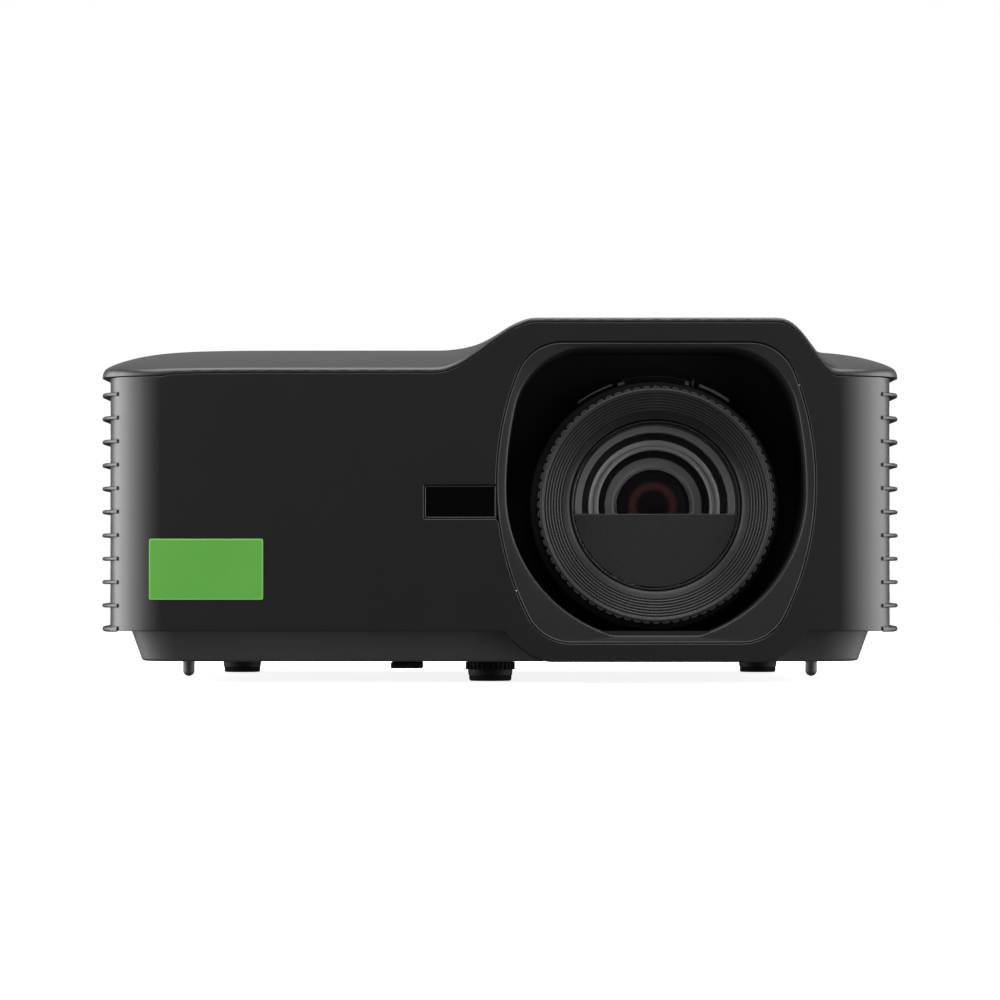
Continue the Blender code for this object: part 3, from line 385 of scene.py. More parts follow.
def join(name: str, pieces: Sequence[bpy.types.Object]) -> bpy.types.Object:
    """Joins finished pieces that belong together into one.

    Args:
        name: Name of the result.
        pieces: The pieces, each at the origin.

    Returns:
        The joined piece.
    """
    with bpy.context.temp_override(active_object=pieces[0], selected_editable_objects=list(pieces)):
        bpy.ops.object.join()
    pieces[0].name = name
    pieces[0].data.name = name
    return pieces[0]


def bake(piece: bpy.types.Object, sharp: float = 32.0) -> bpy.types.Object:
    """Turns a piece with modifiers into a plain mesh.

    Args:
        piece: The piece.
        sharp: Angle in degrees above which an edge stays sharp.

    Returns:
        The same piece, without modifiers.
    """
    ready = piece.evaluated_get(bpy.context.evaluated_depsgraph_get())
    mesh = bpy.data.meshes.new_from_object(ready)
    mesh.name = piece.name
    piece.modifiers.clear()
    piece.data = mesh
    soften(piece, sharp)
    return piece


def even_out(piece: bpy.types.Object) -> None:
    """Lets the larger faces set the shading normals, so that flat walls stay flat beside their fillets.

    Args:
        piece: The piece.
    """
    weighted = piece.modifiers.new("weighted_normals", "WEIGHTED_NORMAL")
    weighted.keep_sharp = True
    ready = piece.evaluated_get(bpy.context.evaluated_depsgraph_get())
    mesh = bpy.data.meshes.new_from_object(ready)
    mesh.name = piece.name
    piece.modifiers.clear()
    piece.data = mesh


def carve(piece: bpy.types.Object, *cutters: bpy.types.Object) -> bpy.types.Object:
    """Cuts other solids out of a piece and removes them.

    Args:
        piece: The piece.
        cutters: The solids to take away.

    Returns:
        The piece, cut.
    """
    for cutter in cutters:
        modifier = piece.modifiers.new("cut", "BOOLEAN")
        modifier.operation = "DIFFERENCE"
        modifier.solver = "EXACT"
        modifier.object = cutter
    bake(piece)
    for cutter in cutters:
        bpy.data.objects.remove(cutter)
    return piece


def place(axis: str, across: float, up: float, along: float, centre: Vector) -> Vector:
    """A point given across, up and along an axis.

    Args:
        axis: "X", "Y" or "Z", the axis that it runs along.
        across: First coordinate across the axis.
        up: Second coordinate across the axis.
        along: Coordinate along the axis.
        centre: Where the axis starts.

    Returns:
        The point.
    """
    order = {"X": (along, across, up), "Y": (across, along, up), "Z": (across, up, along)}[axis]
    return centre + Vector(order)


def lathe(name: str, profile: Sequence[Point2], centre: Vector, finish: Finish | RingedGlass, axis: str = "Y",
          steps: int = 96, sharp: float = 32.0) -> bpy.types.Object:
    """Turns a closed profile round an axis.

    Args:
        name: Name of the piece.
        profile: (radius, distance along the axis) pairs. Where it starts or ends on the axis, it has a pole.
        centre: Where the axis starts.
        finish: What it is made of.
        axis: The axis's direction.
        steps: Segments round the axis.
        sharp: Angle in degrees above which an edge stays sharp.

    Returns:
        The piece.
    """
    points: list[Vector] = []
    rings: list[list[int]] = []
    for radius, along in profile:
        count = 1 if radius < 1e-7 else steps
        turns = [2 * math.pi * i / steps for i in range(count)]
        rings.append(list(range(len(points), len(points) + count)))
        points += [place(axis, radius * math.cos(t), radius * math.sin(t), along, centre) for t in turns]
    pairs = list(zip(rings, rings[1:]))
    if len(rings[0]) > 1:
        pairs.append((rings[-1], rings[0]))
    faces = []
    for first, second in pairs:
        for i in range(steps):
            j = (i + 1) % steps
            face = [first[i % len(first)], first[j % len(first)],
                    second[j % len(second)], second[i % len(second)]]
            unique = list(dict.fromkeys(face))
            if len(unique) > 2:
                faces.append(unique)
    return link_mesh(name, points, faces, finish, sharp)


def loft(name: str, loops: Sequence[Sequence[Vector]], finish: Finish, closed: bool = False,
         sharp: float = 32.0) -> bpy.types.Object:
    """Joins loops of points into a solid.

    Args:
        name: Name of the piece.
        loops: Loops with the same number of points.
        finish: What it is made of.
        closed: Whether the last loop joins the first; otherwise both ends are capped.
        sharp: Angle in degrees above which an edge stays sharp.

    Returns:
        The piece.
    """
    count = len(loops[0])
    points = [p for loop in loops for p in loop]
    pairs = [(k, k + 1) for k in range(len(loops) - 1)] + ([(len(loops) - 1, 0)] if closed else [])
    faces = [[a * count + i, a * count + (i + 1) % count, b * count + (i + 1) % count, b * count + i]
             for a, b in pairs for i in range(count)]
    if not closed:
        faces += [list(range(count)), list(range((len(loops) - 1) * count, len(loops) * count))]
    return link_mesh(name, points, faces, finish, sharp)


def offset(loop: Sequence[Point2], distance: float) -> list[Point2]:
    """Moves an anticlockwise loop inwards.

    Args:
        loop: The loop.
        distance: How far; negative moves it outwards.

    Returns:
        The moved loop.
    """
    moved = []
    for i, (x, y) in enumerate(loop):
        before, after = loop[i - 1], loop[(i + 1) % len(loop)]
        first = Vector((x - before[0], y - before[1])).normalized()
        second = Vector((after[0] - x, after[1] - y)).normalized()
        normal = Vector((-first.y - second.y, first.x + second.x)).normalized()
        reach = distance / max(0.5, normal.dot(Vector((-first.y, first.x))))
        moved.append((x + normal.x * reach, y + normal.y * reach))
    return moved


def inside(loop: Sequence[Point2], x: float, y: float) -> bool:
    """Whether a point lies in a loop.

    Args:
        loop: The loop.
        x: The point's first coordinate.
        y: The point's second coordinate.

    Returns:
        True inside.
    """
    odd = False
    for (ax, ay), (bx, by) in zip(loop, list(loop[1:]) + [loop[0]]):
        if (ay > y) != (by > y) and x < ax + (bx - ax) * (y - ay) / (by - ay):
            odd = not odd
    return odd


def shell(name: str, outer: Sequence[Point2], holes: Sequence[Sequence[Point2]], guides: Sequence[Point2],
          wrap: Callable[[float, float, float], Vector], radius: float, thickness: float,
          finish: Finish) -> bpy.types.Object:
    """Makes a wall with round-edged openings, bent over a surface.

    Args:
        name: Name of the piece.
        outer: Its outline, anticlockwise.
        holes: Outlines of its openings, anticlockwise.
        guides: Further points on it, where the surface bends.
        wrap: Gives the point at two coordinates on the wall and a depth below its face.
        radius: Radius of the edges.
        thickness: Thickness of the wall.
        finish: What it is made of.

    Returns:
        The wall.
    """
    loops = [(list(outer), radius)] + [(list(hole), -radius) for hole in holes]
    faces_at = [offset(loop, inset) for loop, inset in loops]
    flat = [Vector(p) for loop in faces_at for p in loop]
    edges, start = [], 0
    for loop in faces_at:
        edges += [(start + i, start + (i + 1) % len(loop)) for i in range(len(loop))]
        start += len(loop)
    margin = radius * 2
    flat += [Vector(g) for g in guides if inside(offset(outer, margin), *g)
             and not any(inside(offset(hole, -margin), *g) for hole in holes)]
    co, _, triangles, origins, _, _ = delaunay_2d_cdt(flat, edges, [], 1, 1e-9)
    index = {old: new for new, olds in enumerate(origins) for old in olds}
    kept = []
    for tri in triangles:
        x, y = (sum(co[i][k] for i in tri) / 3 for k in (0, 1))
        if not any(inside(hole, x, y) for hole in faces_at[1:]):
            kept.append(list(tri))
    points = [wrap(p.x, p.y, 0.0) for p in co] + [wrap(p.x, p.y, thickness) for p in co]
    faces = kept + [[i + len(co) for i in reversed(tri)] for tri in kept]
    start = 0
    steps = 3
    for loop, inset in loops:
        count = len(loop)
        rows = [[index[start + i] for i in range(count)]]
        for k in range(1, steps + 1):
            turn = math.pi / 2 * k / steps
            ring = offset(loop, inset * (1 - math.sin(turn)))
            rows.append(list(range(len(points), len(points) + count)))
            points += [wrap(x, y, radius * (1 - math.cos(turn))) for x, y in ring]
        rows.append(list(range(len(points), len(points) + count)))
        points += [wrap(x, y, thickness) for x, y in loop]
        rows.append([index[start + i] + len(co) for i in range(count)])
        for first, second in zip(rows, rows[1:]):
            faces += [[first[i], first[(i + 1) % count], second[(i + 1) % count], second[i]]
                      for i in range(count)]
        start += count
    return link_mesh(name, points, faces, finish, 50.0)


def rounded(half_x: float, half_y: float, radius: float, centre: Point2 = (0.0, 0.0),
            steps: int = 8) -> list[Point2]:
    """A rounded rectangle, anticlockwise.

    Args:
        half_x: Half its width.
        half_y: Half its height.
        radius: Radius of its corners.
        centre: Its middle.
        steps: Segments to a corner.

    Returns:
        Its points.
    """
    loop = []
    for corner, (sx, sy) in enumerate(((1, 1), (-1, 1), (-1, -1), (1, -1))):
        for i in range(steps + 1):
            turn = math.pi / 2 * (corner + i / steps)
            loop.append((centre[0] + sx * (half_x - radius) + radius * math.cos(turn),
                         centre[1] + sy * (half_y - radius) + radius * math.sin(turn)))
    return loop


def circle(centre: Point2, radius: float, steps: int = 32) -> list[Point2]:
    """A circle, anticlockwise, as points."""
    turns = [2 * math.pi * i / steps for i in range(steps)]
    return [(centre[0] + radius * math.cos(t), centre[1] + radius * math.sin(t)) for t in turns]


def slab(name: str, outline: Sequence[Point2], low: float, high: float, finish: Finish, axis: str = "Y",
         radius: float = 0.0) -> bpy.types.Object:
    """Makes a plate from an outline, with its edges rounded at both faces.

    Args:
        name: Name of the piece.
        outline: Its outline, anticlockwise, across the axis.
        low: Where it starts along the axis.
        high: Where it ends.
        finish: What it is made of.
        axis: The axis that it is thick along.
        radius: Radius of its edges.

    Returns:
        The plate.
    """
    levels = [(0.0, low), (0.0, high)]
    if radius:
        turns = [math.pi / 2 * i / 3 for i in range(4)]
        levels = [(radius * (1 - math.sin(t)), low + radius * (1 - math.cos(t))) for t in turns]
        levels += [(inset, low + high - level) for inset, level in reversed(levels)]
    loops = []
    for inset, level in levels:
        ring = offset(outline, inset) if inset else outline
        loops.append([place(axis, x, y, level, Vector()) for x, y in ring])
    return loft(name, loops, finish)


def turned_arc(centre: Point2, inner: float, outer: float, start: float, end: float,
               steps: int = 24) -> list[Point2]:
    """Part of a ring between two angles, as an anticlockwise outline.

    Args:
        centre: Its centre.
        inner: Inner radius.
        outer: Outer radius.
        start: Angle at its start, in degrees.
        end: Angle at its end, in degrees.
        steps: Number of segments.

    Returns:
        The points.
    """
    turns = [math.radians(start + (end - start) * i / steps) for i in range(steps + 1)]
    far = [(centre[0] + outer * math.cos(t), centre[1] + outer * math.sin(t)) for t in turns]
    near = [(centre[0] + inner * math.cos(t), centre[1] + inner * math.sin(t)) for t in reversed(turns)]
    return far + near


@dataclass(frozen=True)
class Repeat:
    """Geometry Nodes that repeat a piece along a step or round a point.

    Attributes:
        count: How many copies.
        step: From each copy to the next.
        turn: Angles about the three axes from each copy to the next.
        centre: The point that they turn about.
    """

    count: int
    step: tuple[float, float, float] = (0.0, 0.0, 0.0)
    turn: tuple[float, float, float] = (0.0, 0.0, 0.0)
    centre: tuple[float, float, float] = (0.0, 0.0, 0.0)

    @staticmethod
    def tree() -> bpy.types.GeometryNodeTree:
        """Returns the node tree, building it the first time.

        Returns:
            The tree.
        """
        known = bpy.data.node_groups.get("repeat_piece")
        if known:
            return known
        tree = bpy.data.node_groups.new("repeat_piece", "GeometryNodeTree")
        tree.interface.new_socket("Geometry", in_out="INPUT", socket_type="NodeSocketGeometry")
        tree.interface.new_socket("Count", in_out="INPUT", socket_type="NodeSocketInt")
        for title in ("Step", "Turn", "Centre"):
            tree.interface.new_socket(title, in_out="INPUT", socket_type="NodeSocketVector")
        tree.interface.new_socket("Finish", in_out="INPUT", socket_type="NodeSocketMaterial")
        tree.interface.new_socket("Geometry", in_out="OUTPUT", socket_type="NodeSocketGeometry")
        nodes, links = tree.nodes, tree.links
        given, out = nodes.new("NodeGroupInput"), nodes.new("NodeGroupOutput")
        back = nodes.new("ShaderNodeVectorMath")
        back.operation = "SCALE"
        back.inputs["Scale"].default_value = -1.0
        links.new(given.outputs["Centre"], back.inputs[0])
        centred = nodes.new("GeometryNodeTransform")
        links.new(given.outputs["Geometry"], centred.inputs["Geometry"])
        links.new(back.outputs["Vector"], centred.inputs["Translation"])
        line = nodes.new("GeometryNodeMeshLine")
        line.mode = "OFFSET"
        links.new(given.outputs["Count"], line.inputs["Count"])
        links.new(given.outputs["Centre"], line.inputs["Start Location"])
        links.new(given.outputs["Step"], line.inputs["Offset"])
        turned = nodes.new("ShaderNodeVectorMath")
        turned.operation = "SCALE"
        links.new(given.outputs["Turn"], turned.inputs[0])
        links.new(nodes.new("GeometryNodeInputIndex").outputs["Index"], turned.inputs["Scale"])
        copies = nodes.new("GeometryNodeInstanceOnPoints")
        links.new(line.outputs["Mesh"], copies.inputs["Points"])
        links.new(centred.outputs["Geometry"], copies.inputs["Instance"])
        links.new(turned.outputs["Vector"], copies.inputs["Rotation"])
        real = nodes.new("GeometryNodeRealizeInstances")
        links.new(copies.outputs["Instances"], real.inputs["Geometry"])
        dressed = nodes.new("GeometryNodeSetMaterial")
        links.new(real.outputs["Geometry"], dressed.inputs["Geometry"])
        links.new(given.outputs["Finish"], dressed.inputs["Material"])
        links.new(dressed.outputs["Geometry"], out.inputs["Geometry"])
        return tree

    def apply(self, piece: bpy.types.Object, finish: Finish, sharp: float = 32.0) -> bpy.types.Object:
        """Repeats a piece and makes the result a plain mesh.

        Args:
            piece: The first copy, in its place.
            finish: What the copies are made of.
            sharp: Angle in degrees above which an edge stays sharp.

        Returns:
            The piece with all its copies.
        """
        modifier = piece.modifiers.new("repeat", "NODES")
        tree = modifier.node_group = self.tree()
        values = {"Count": self.count, "Step": self.step, "Turn": self.turn, "Centre": self.centre,
                  "Finish": finish.material()}
        for item in tree.interface.items_tree:
            if item.in_out == "INPUT" and item.name in values:
                modifier[item.identifier] = values[item.name]
        return bake(piece, sharp)


# ---- Form of the casing --------------------------------------------------------------------------
def smooth(t: float) -> float:
    """A soft step from 0 at 0 to 1 at 1."""
    t = min(1.0, max(0.0, t))
    return t * t * (3 - 2 * t)


@dataclass(frozen=True)
class CasingForm:
    """The shape that the casing's pieces share. Heights, widths and depths are the frame's own."""

    width: float = 0.286
    depth: float = 0.216
    reach: float = 0.004
    front_radius: float = 0.020
    rear_radius: float = 0.012
    underside: float = 0.0074
    seam: float = 0.0183
    edge: float = 0.110
    crown_rise: float = 0.0115
    crown_depth: float = 0.110
    rear_fall: float = 0.30
    front_share: float = 0.10
    shoulder_power: float = 10.3
    hood_height: float = 0.019
    hood_length: float = 0.150
    hood_left: Point2 = (0.0783, 0.0423)
    hood_right: Point2 = (0.0417, 0.0632)
    hood_skew: float = 1.3
    flange: float = 0.0014
    fin_start: float = 0.008
    fin_run: float = 0.028
    lens_x: float = 0.0553
    lens_z: float = 0.0629
    recess_x: float = 0.0551

    @property
    def half(self) -> float:
        """Half the width between the fins."""
        return self.width / 2 - self.reach

    @property
    def rear(self) -> float:
        """The rear face's place along Y."""
        return FRONT + self.depth

    def casing_half(self, depth: float, inset: float = 0.0) -> float:
        """Half width of the casing at a depth, inside its round corners.

        Args:
            depth: Depth from the front face.
            inset: How far inside the outer surface.

        Returns:
            The half width.
        """
        radius, into = self.front_radius, depth
        if depth > self.depth / 2:
            radius, into = self.rear_radius, self.depth - depth
        if into >= radius:
            return self.half - inset
        across = (radius - inset) ** 2 - (radius - into) ** 2
        return self.half - radius + math.sqrt(max(0.0, across))

    def fin_share(self, depth: float) -> float:
        """How far the fins have grown at a depth, from 0 to 1."""
        run = min(depth, self.depth - depth) - self.fin_start
        return math.sin(min(1.0, max(0.0, run / self.fin_run)) * math.pi / 2)

    def fin_half(self, depth: float) -> float:
        """Half width over the blades at a depth."""
        return self.casing_half(depth) + 2 * GAP + (self.reach - 2 * GAP) * self.fin_share(depth)

    def cover_half(self, depth: float) -> float:
        """Half width of the top cover at a depth."""
        return self.casing_half(depth) + self.reach * self.fin_share(depth)

    def hood_share(self, x: float) -> float:
        """Share of the hood's height across the casing, from 0 at its feet to 1 on its flat.

        Args:
            x: Place across the casing.

        Returns:
            The share.
        """
        if x < self.lens_x:
            foot, crown = (self.lens_x - side for side in self.hood_left)
            return smooth((x - foot) / (crown - foot))
        crown, foot = (self.lens_x + side for side in self.hood_right)
        return 1 - smooth(max(0.0, (x - crown) / (foot - crown)) ** self.hood_skew)

    def top_height(self, x: float, depth: float) -> float:
        """Height of the top cover.

        Args:
            x: Place across the casing.
            depth: Depth from the front face.

        Returns:
            The height of its surface.
        """
        shoulder = math.sqrt(max(0.0, 1 - min(1.0, abs(x) / self.cover_half(depth)) ** self.shoulder_power))
        if depth < self.crown_depth:
            share = self.front_share + (1 - self.front_share) * (1 - (1 - depth / self.crown_depth) ** 2.5)
        else:
            share = 1 - self.rear_fall * ((depth - self.crown_depth) / (self.depth - self.crown_depth)) ** 2
        base = self.edge + self.crown_rise * share * shoulder
        hood = (self.edge + self.hood_height - base) * self.hood_share(x)
        return base + hood * (1 - smooth(depth / self.hood_length))

    def rim_height(self, x: float, depth: float) -> float:
        """Height of the wall under the cover's edge at the front or rear.

        Args:
            x: Place across the casing.
            depth: Depth of the wall.

        Returns:
            The height.
        """
        radius = self.rear_radius if depth else self.front_radius
        top = self.top_height(x, depth) if abs(x) < self.half - radius else self.edge
        return top - self.flange - GAP

    def bulged(self, half: float, top: float, bottom: float, waist: float, bulges: Point2, corners: Point2,
               grow: float = 0.0, steps: int = 14) -> list[Point2]:
        """An outline with a flat top and bottom and bulging sides, anticlockwise.

        Args:
            half: Half its width.
            top: Height of its top.
            bottom: Height of its bottom.
            waist: Height at which it is widest.
            bulges: Radius of its sides above and below the waist.
            corners: Radius of its upper and lower corners.
            grow: How far to move it outwards.
            steps: Segments to a side, a corner and half a flat.

        Returns:
            Its points.
        """
        quarters = []
        for level, sign, bulge, corner in ((top + grow, 1, bulges[0] + grow, corners[0] + grow),
                                           (bottom - grow, -1, bulges[1] + grow, corners[1] + grow)):
            low_x = half + grow - bulge
            corner_z = level - sign * corner
            corner_x = low_x + math.sqrt((bulge - corner) ** 2 - (corner_z - waist) ** 2)
            lean = math.asin(abs(corner_z - waist) / (bulge - corner))
            side = [(low_x + bulge * math.cos(lean * i / steps),
                     waist + sign * bulge * math.sin(lean * i / steps)) for i in range(steps)]
            bend = [lean + (math.pi / 2 - lean) * i / steps for i in range(steps + 1)]
            side += [(corner_x + corner * math.cos(a), corner_z + sign * corner * math.sin(a)) for a in bend]
            quarters.append(side)
        upper, lower = quarters
        right = lower[:0:-1] + upper
        tops = [((1 - i / steps) * upper[-1][0], upper[-1][1]) for i in range(1, 2 * steps)]
        bottoms = [(-(1 - i / steps) * lower[-1][0], lower[-1][1]) for i in range(1, 2 * steps)]
        loop = right + tops + [(-x, z) for x, z in reversed(right)] + bottoms
        return [(self.recess_x + x, z) for x, z in loop]

    def recess(self, grow: float = 0.0) -> list[Point2]:
        """Outline of the recess round the lens."""
        return self.bulged(0.0562, 0.1202, 0.0142, 0.0706, (0.106, 0.106), (0.017, 0.017), grow)

    def mouth(self, grow: float = 0.0) -> list[Point2]:
        """Outline of the opening in the recess's trim."""
        return self.bulged(0.0529, 0.1182, 0.0170, 0.0676, (0.141, 0.0529), (0.026, 0.008), grow)

    def lobe(self, inset: float = 0.0) -> list[Point2]:
        """The lower lobe, from its left end at the seam along its bottom to its right end.

        Args:
            inset: How far inside its edge the line runs.

        Returns:
            The points.
        """
        half, flat, steps = 0.0536, 0.037, 20
        low = self.underside + inset
        run = [(flat - inset + (half - flat) * i / steps, low + (self.seam - low) * (i / steps) ** 1.8)
               for i in range(steps + 1)]
        return [(self.recess_x - x, z) for x, z in reversed(run)] + [(self.recess_x + x, z) for x, z in run]


FORM = CasingForm()


# ---- Casing --------------------------------------------------------------------------------------
@dataclass
class FrontBezel:
    """The front wall with its round corners, the lower lobe, the receiver's window and the label."""

    window: tuple[float, float, float, float] = (-0.0266, -0.0012, 0.0582, 0.0696)
    label: tuple[float, float, float, float] = (-0.1237, -0.0835, 0.0294, 0.0509)
    fillet: float = 0.0003
    columns: int = 26

    @property
    def flat(self) -> float:
        """Half width of the flat part."""
        return FORM.half - FORM.front_radius

    @property
    def reach(self) -> float:
        """Half length of the wall along its face, round to the ends of the corners."""
        return self.flat + FORM.front_radius * math.pi / 2

    def wrap(self, u: float, z: float, inset: float) -> Vector:
        """Bends the wall round the front corners.

        Args:
            u: Distance along the face from the middle.
            z: Height.
            inset: Depth below the face.

        Returns:
            The point.
        """
        radius, side = FORM.front_radius, math.copysign(1.0, u)
        if abs(u) <= self.flat:
            return Vector((u, FRONT + inset, z))
        turn = (abs(u) - self.flat) / radius
        return Vector((side * (self.flat + (radius - inset) * math.sin(turn)),
                       FRONT + radius - (radius - inset) * math.cos(turn), z))

    def outline(self) -> list[Point2]:
        """Outline of the unrolled wall, anticlockwise.

        Returns:
            The points.
        """
        bend = [self.flat + (self.reach - self.flat) * i / self.columns for i in range(self.columns + 1)]
        low = [(-u, FORM.seam) for u in reversed(bend)] + FORM.lobe() + [(u, FORM.seam) for u in bend]
        steps = 190
        across = [self.flat - 2 * self.flat * i / steps for i in range(1, steps)]
        top = [(u, FORM.edge - FORM.flange - GAP) for u in reversed(bend)]
        top += [(u, FORM.rim_height(u, 0.0)) for u in across]
        top += [(-u, FORM.edge - FORM.flange - GAP) for u in bend]
        side = [(u, z / 1000) for u in (self.reach,) for z in range(25, 105, 8)]
        return low + side + top + [(-u, z) for u, z in reversed(side)]

    def opening(self) -> list[Point2]:
        """The opening for the recess with the window's notch in its left side, anticlockwise.

        Returns:
            The points.
        """
        loop = FORM.recess(GAP)
        left, _, low, high = self.window
        low, high, left = low - GAP, high + GAP, left - GAP
        start = [i for i, (x, z) in enumerate(loop) if x < FORM.recess_x and low < z < high]
        edge = min(x for x, _ in loop)
        notch = [(edge, high), (left + 0.0004, high), (left, high - 0.0004), (left, low + 0.0004),
                 (left + 0.0004, low), (edge, low)]
        return loop[:start[0]] + notch + loop[start[-1] + 1:]

    def build(self) -> None:
        """Builds the wall, the lobe, the window and the label."""
        bend = self.reach - self.flat
        guides = [(side * (self.flat + bend * (i + 0.5) / self.columns), 0.022 + 0.0085 * k)
                  for side in (-1, 1) for i in range(self.columns) for k in range(11)]
        wall = shell("front_bezel_wall", self.outline(), [self.opening()], guides, self.wrap, self.fillet,
                     0.0022, SHELL_BLACK)
        fix(wall, "casing", SHELL_BLACK, "front_bezel")
        lip = [Vector((x, FRONT + depth, z)) for depth in (0.0012, 0.030) for x, z in FORM.lobe()]
        count = len(FORM.lobe())
        lobe = loft("front_bezel_lobe", [lip[:count], lip[count:]], SHELL_BLACK)
        fix(lobe, "casing", SHELL_BLACK)
        self.build_window()
        self.build_label()

    def build_window(self) -> None:
        """Builds the receiver's dark window and the fine frame round it."""
        left, right, low, high = self.window
        right = FORM.recess_x - 0.0562 - GAP
        middle = ((left + right) / 2, (low + high) / 2)
        half = ((right - left) / 2, (high - low) / 2)
        pane = slab("receiver_window", rounded(half[0] - 0.0004, half[1] - 0.0004, 0.0003, middle, 3),
                    FRONT + 0.0008, FRONT + 0.0030, WINDOW_BLACK, "Y", 0.0001)
        fix(pane, "casing", WINDOW_BLACK, "front_ir_window")
        rim = rounded(half[0], half[1], 0.0004, middle, 3)
        hole = rounded(half[0] - 0.0004, half[1] - 0.0004, 0.0003, middle, 3)
        loops = [[Vector((x, FRONT + d, z)) for x, z in loop]
                 for loop, d in ((rim, 0.0030), (rim, 0.0006), (offset(rim, 0.0001), 0.0005),
                                 (offset(hole, -0.0001), 0.0005), (hole, 0.0006), (hole, 0.0030))]
        fix(loft("receiver_window_frame", loops, FRAME_GREY, closed=True), "casing", FRAME_GREY)

    def build_label(self) -> None:
        """Builds the plain printed label with its lighter edge."""
        left, right, low, high = self.label
        middle, half = ((left + right) / 2, (low + high) / 2), ((right - left) / 2, (high - low) / 2)
        sheet = slab("front_label_film", rounded(half[0], half[1], 0.0006, middle, 4), FRONT - 0.00025,
                     FRONT - 0.00002, LABEL_EDGE, "Y", 0.0001)
        face = slab("front_label_print", rounded(half[0] - 0.0005, half[1] - 0.0005, 0.0003, middle, 4),
                    FRONT - 0.00030, FRONT - 0.00020, LABEL_GREEN, "Y")
        fix(sheet, "casing", LABEL_EDGE, "front_label")
        fix(face, "casing", LABEL_GREEN)


@dataclass
class TopCover:
    """The curved top with the hood over the lens and a rounded rim all round."""

    rim_radius: float = 0.00135
    fine: tuple[float, ...] = (0.0, 0.00008, 0.0002, 0.0004, 0.0007, 0.0010, 0.0014, 0.0020)

    def rows(self) -> list[float]:
        """Depths of its rows of points.

        Returns:
            The depths.
        """
        rows, depth = list(self.fine), 0.003
        while depth < FORM.depth - 0.003:
            rows.append(depth)
            depth += 0.00075 if depth < 0.020 or depth > FORM.depth - 0.015 else 0.0022
        return rows + [FORM.depth - step for step in reversed(self.fine)]

    def shares(self) -> list[float]:
        """Shares of the half width at which its columns stand.

        Returns:
            The shares.
        """
        ends = [1 - step / FORM.half for step in self.fine]
        steps = 170
        middle = [-0.98 + 1.96 * i / steps for i in range(steps + 1)]
        return [-e for e in ends] + middle + list(reversed(ends))

    def outline(self) -> list[Point2]:
        """Its plan as (x, depth) points, closely spaced.

        Returns:
            The points.
        """
        loop = []
        steps = 1400
        for i in range(steps + 1):
            depth = FORM.depth * (1 - math.cos(math.pi * i / steps)) / 2
            loop += [(FORM.cover_half(depth), depth), (-FORM.cover_half(depth), depth)]
        flat = [i * 0.0005 for i in range(int((FORM.half - FORM.rear_radius) / 0.0005))]
        for x in flat:
            loop += [(x, FORM.depth), (-x, FORM.depth)]
            if x < FORM.half - FORM.front_radius:
                loop += [(x, 0.0), (-x, 0.0)]
        return loop

    def build(self) -> None:
        """Builds the cover with its opening for the keypad."""
        near = kdtree.KDTree(len(self.outline()))
        for i, (x, depth) in enumerate(self.outline()):
            near.insert((x, depth, 0.0), i)
        near.balance()
        rows, shares, inset = self.rows(), self.shares(), WALL + GAP
        points: list[tuple[float, float, float]] = []
        grids: list[list[list[int]]] = [[], [], [], []]
        for depth in rows:
            half = FORM.cover_half(depth)
            into = inset + depth * (FORM.depth - 2 * inset) / FORM.depth
            into_half = FORM.casing_half(into, inset)
            lines: list[list[int]] = [[], [], [], []]
            for share in shares:
                x, x_in = share * half, share * into_half
                height = FORM.top_height(x, depth)
                distance = min(self.rim_radius, near.find((x, depth, 0.0))[2])
                if depth in (rows[0], rows[-1]) or abs(share) == 1.0:
                    distance = 0.0
                drop = self.rim_radius - math.sqrt(self.rim_radius ** 2 - (self.rim_radius - distance) ** 2)
                low = height - FORM.flange
                spots = ((x, FRONT + depth, height - drop), (x, FRONT + depth, low),
                         (x_in, FRONT + into, low),
                         (x_in, FRONT + into, FORM.top_height(x_in, into) - WALL))
                for line, spot in zip(lines, spots):
                    line.append(len(points))
                    points.append(spot)
            for grid, line in zip(grids, lines):
                grid.append(line)
        last, end = len(rows) - 1, len(shares) - 1
        faces = [[g[i][j], g[i][j + 1], g[i + 1][j + 1], g[i + 1][j]]
                 for g in (grids[0], grids[3]) for i in range(last) for j in range(end)]
        ring = [(i, 0) for i in range(last)] + [(last, j) for j in range(end)]
        ring += [(i, end) for i in range(last, 0, -1)] + [(0, j) for j in range(end, 0, -1)]
        for (a, b), (c, d) in zip(ring, ring[1:] + ring[:1]):
            faces += [[first[a][b], first[c][d], second[c][d], second[a][b]]
                      for first, second in zip(grids, grids[1:])]
        used = sorted({i for face in faces for i in face})
        new = {old: k for k, old in enumerate(used)}
        cover = link_mesh("top_cover_skin", [points[i] for i in used], [[new[i] for i in f] for f in faces],
                          COVER_BLACK, 60.0)
        low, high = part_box("keypad_plate")
        opening = rounded((high.x - low.x) / 2 + GAP, (high.y - low.y) / 2 + GAP, 0.004,
                          ((low.x + high.x) / 2, (low.y + high.y) / 2))
        carve(cover, slab("keypad_opening", opening, FORM.edge, FORM.edge + 0.03, COVER_BLACK, "Z"))
        soften(cover, 50.0)
        fix(cover, "casing", COVER_BLACK, "top_cover")


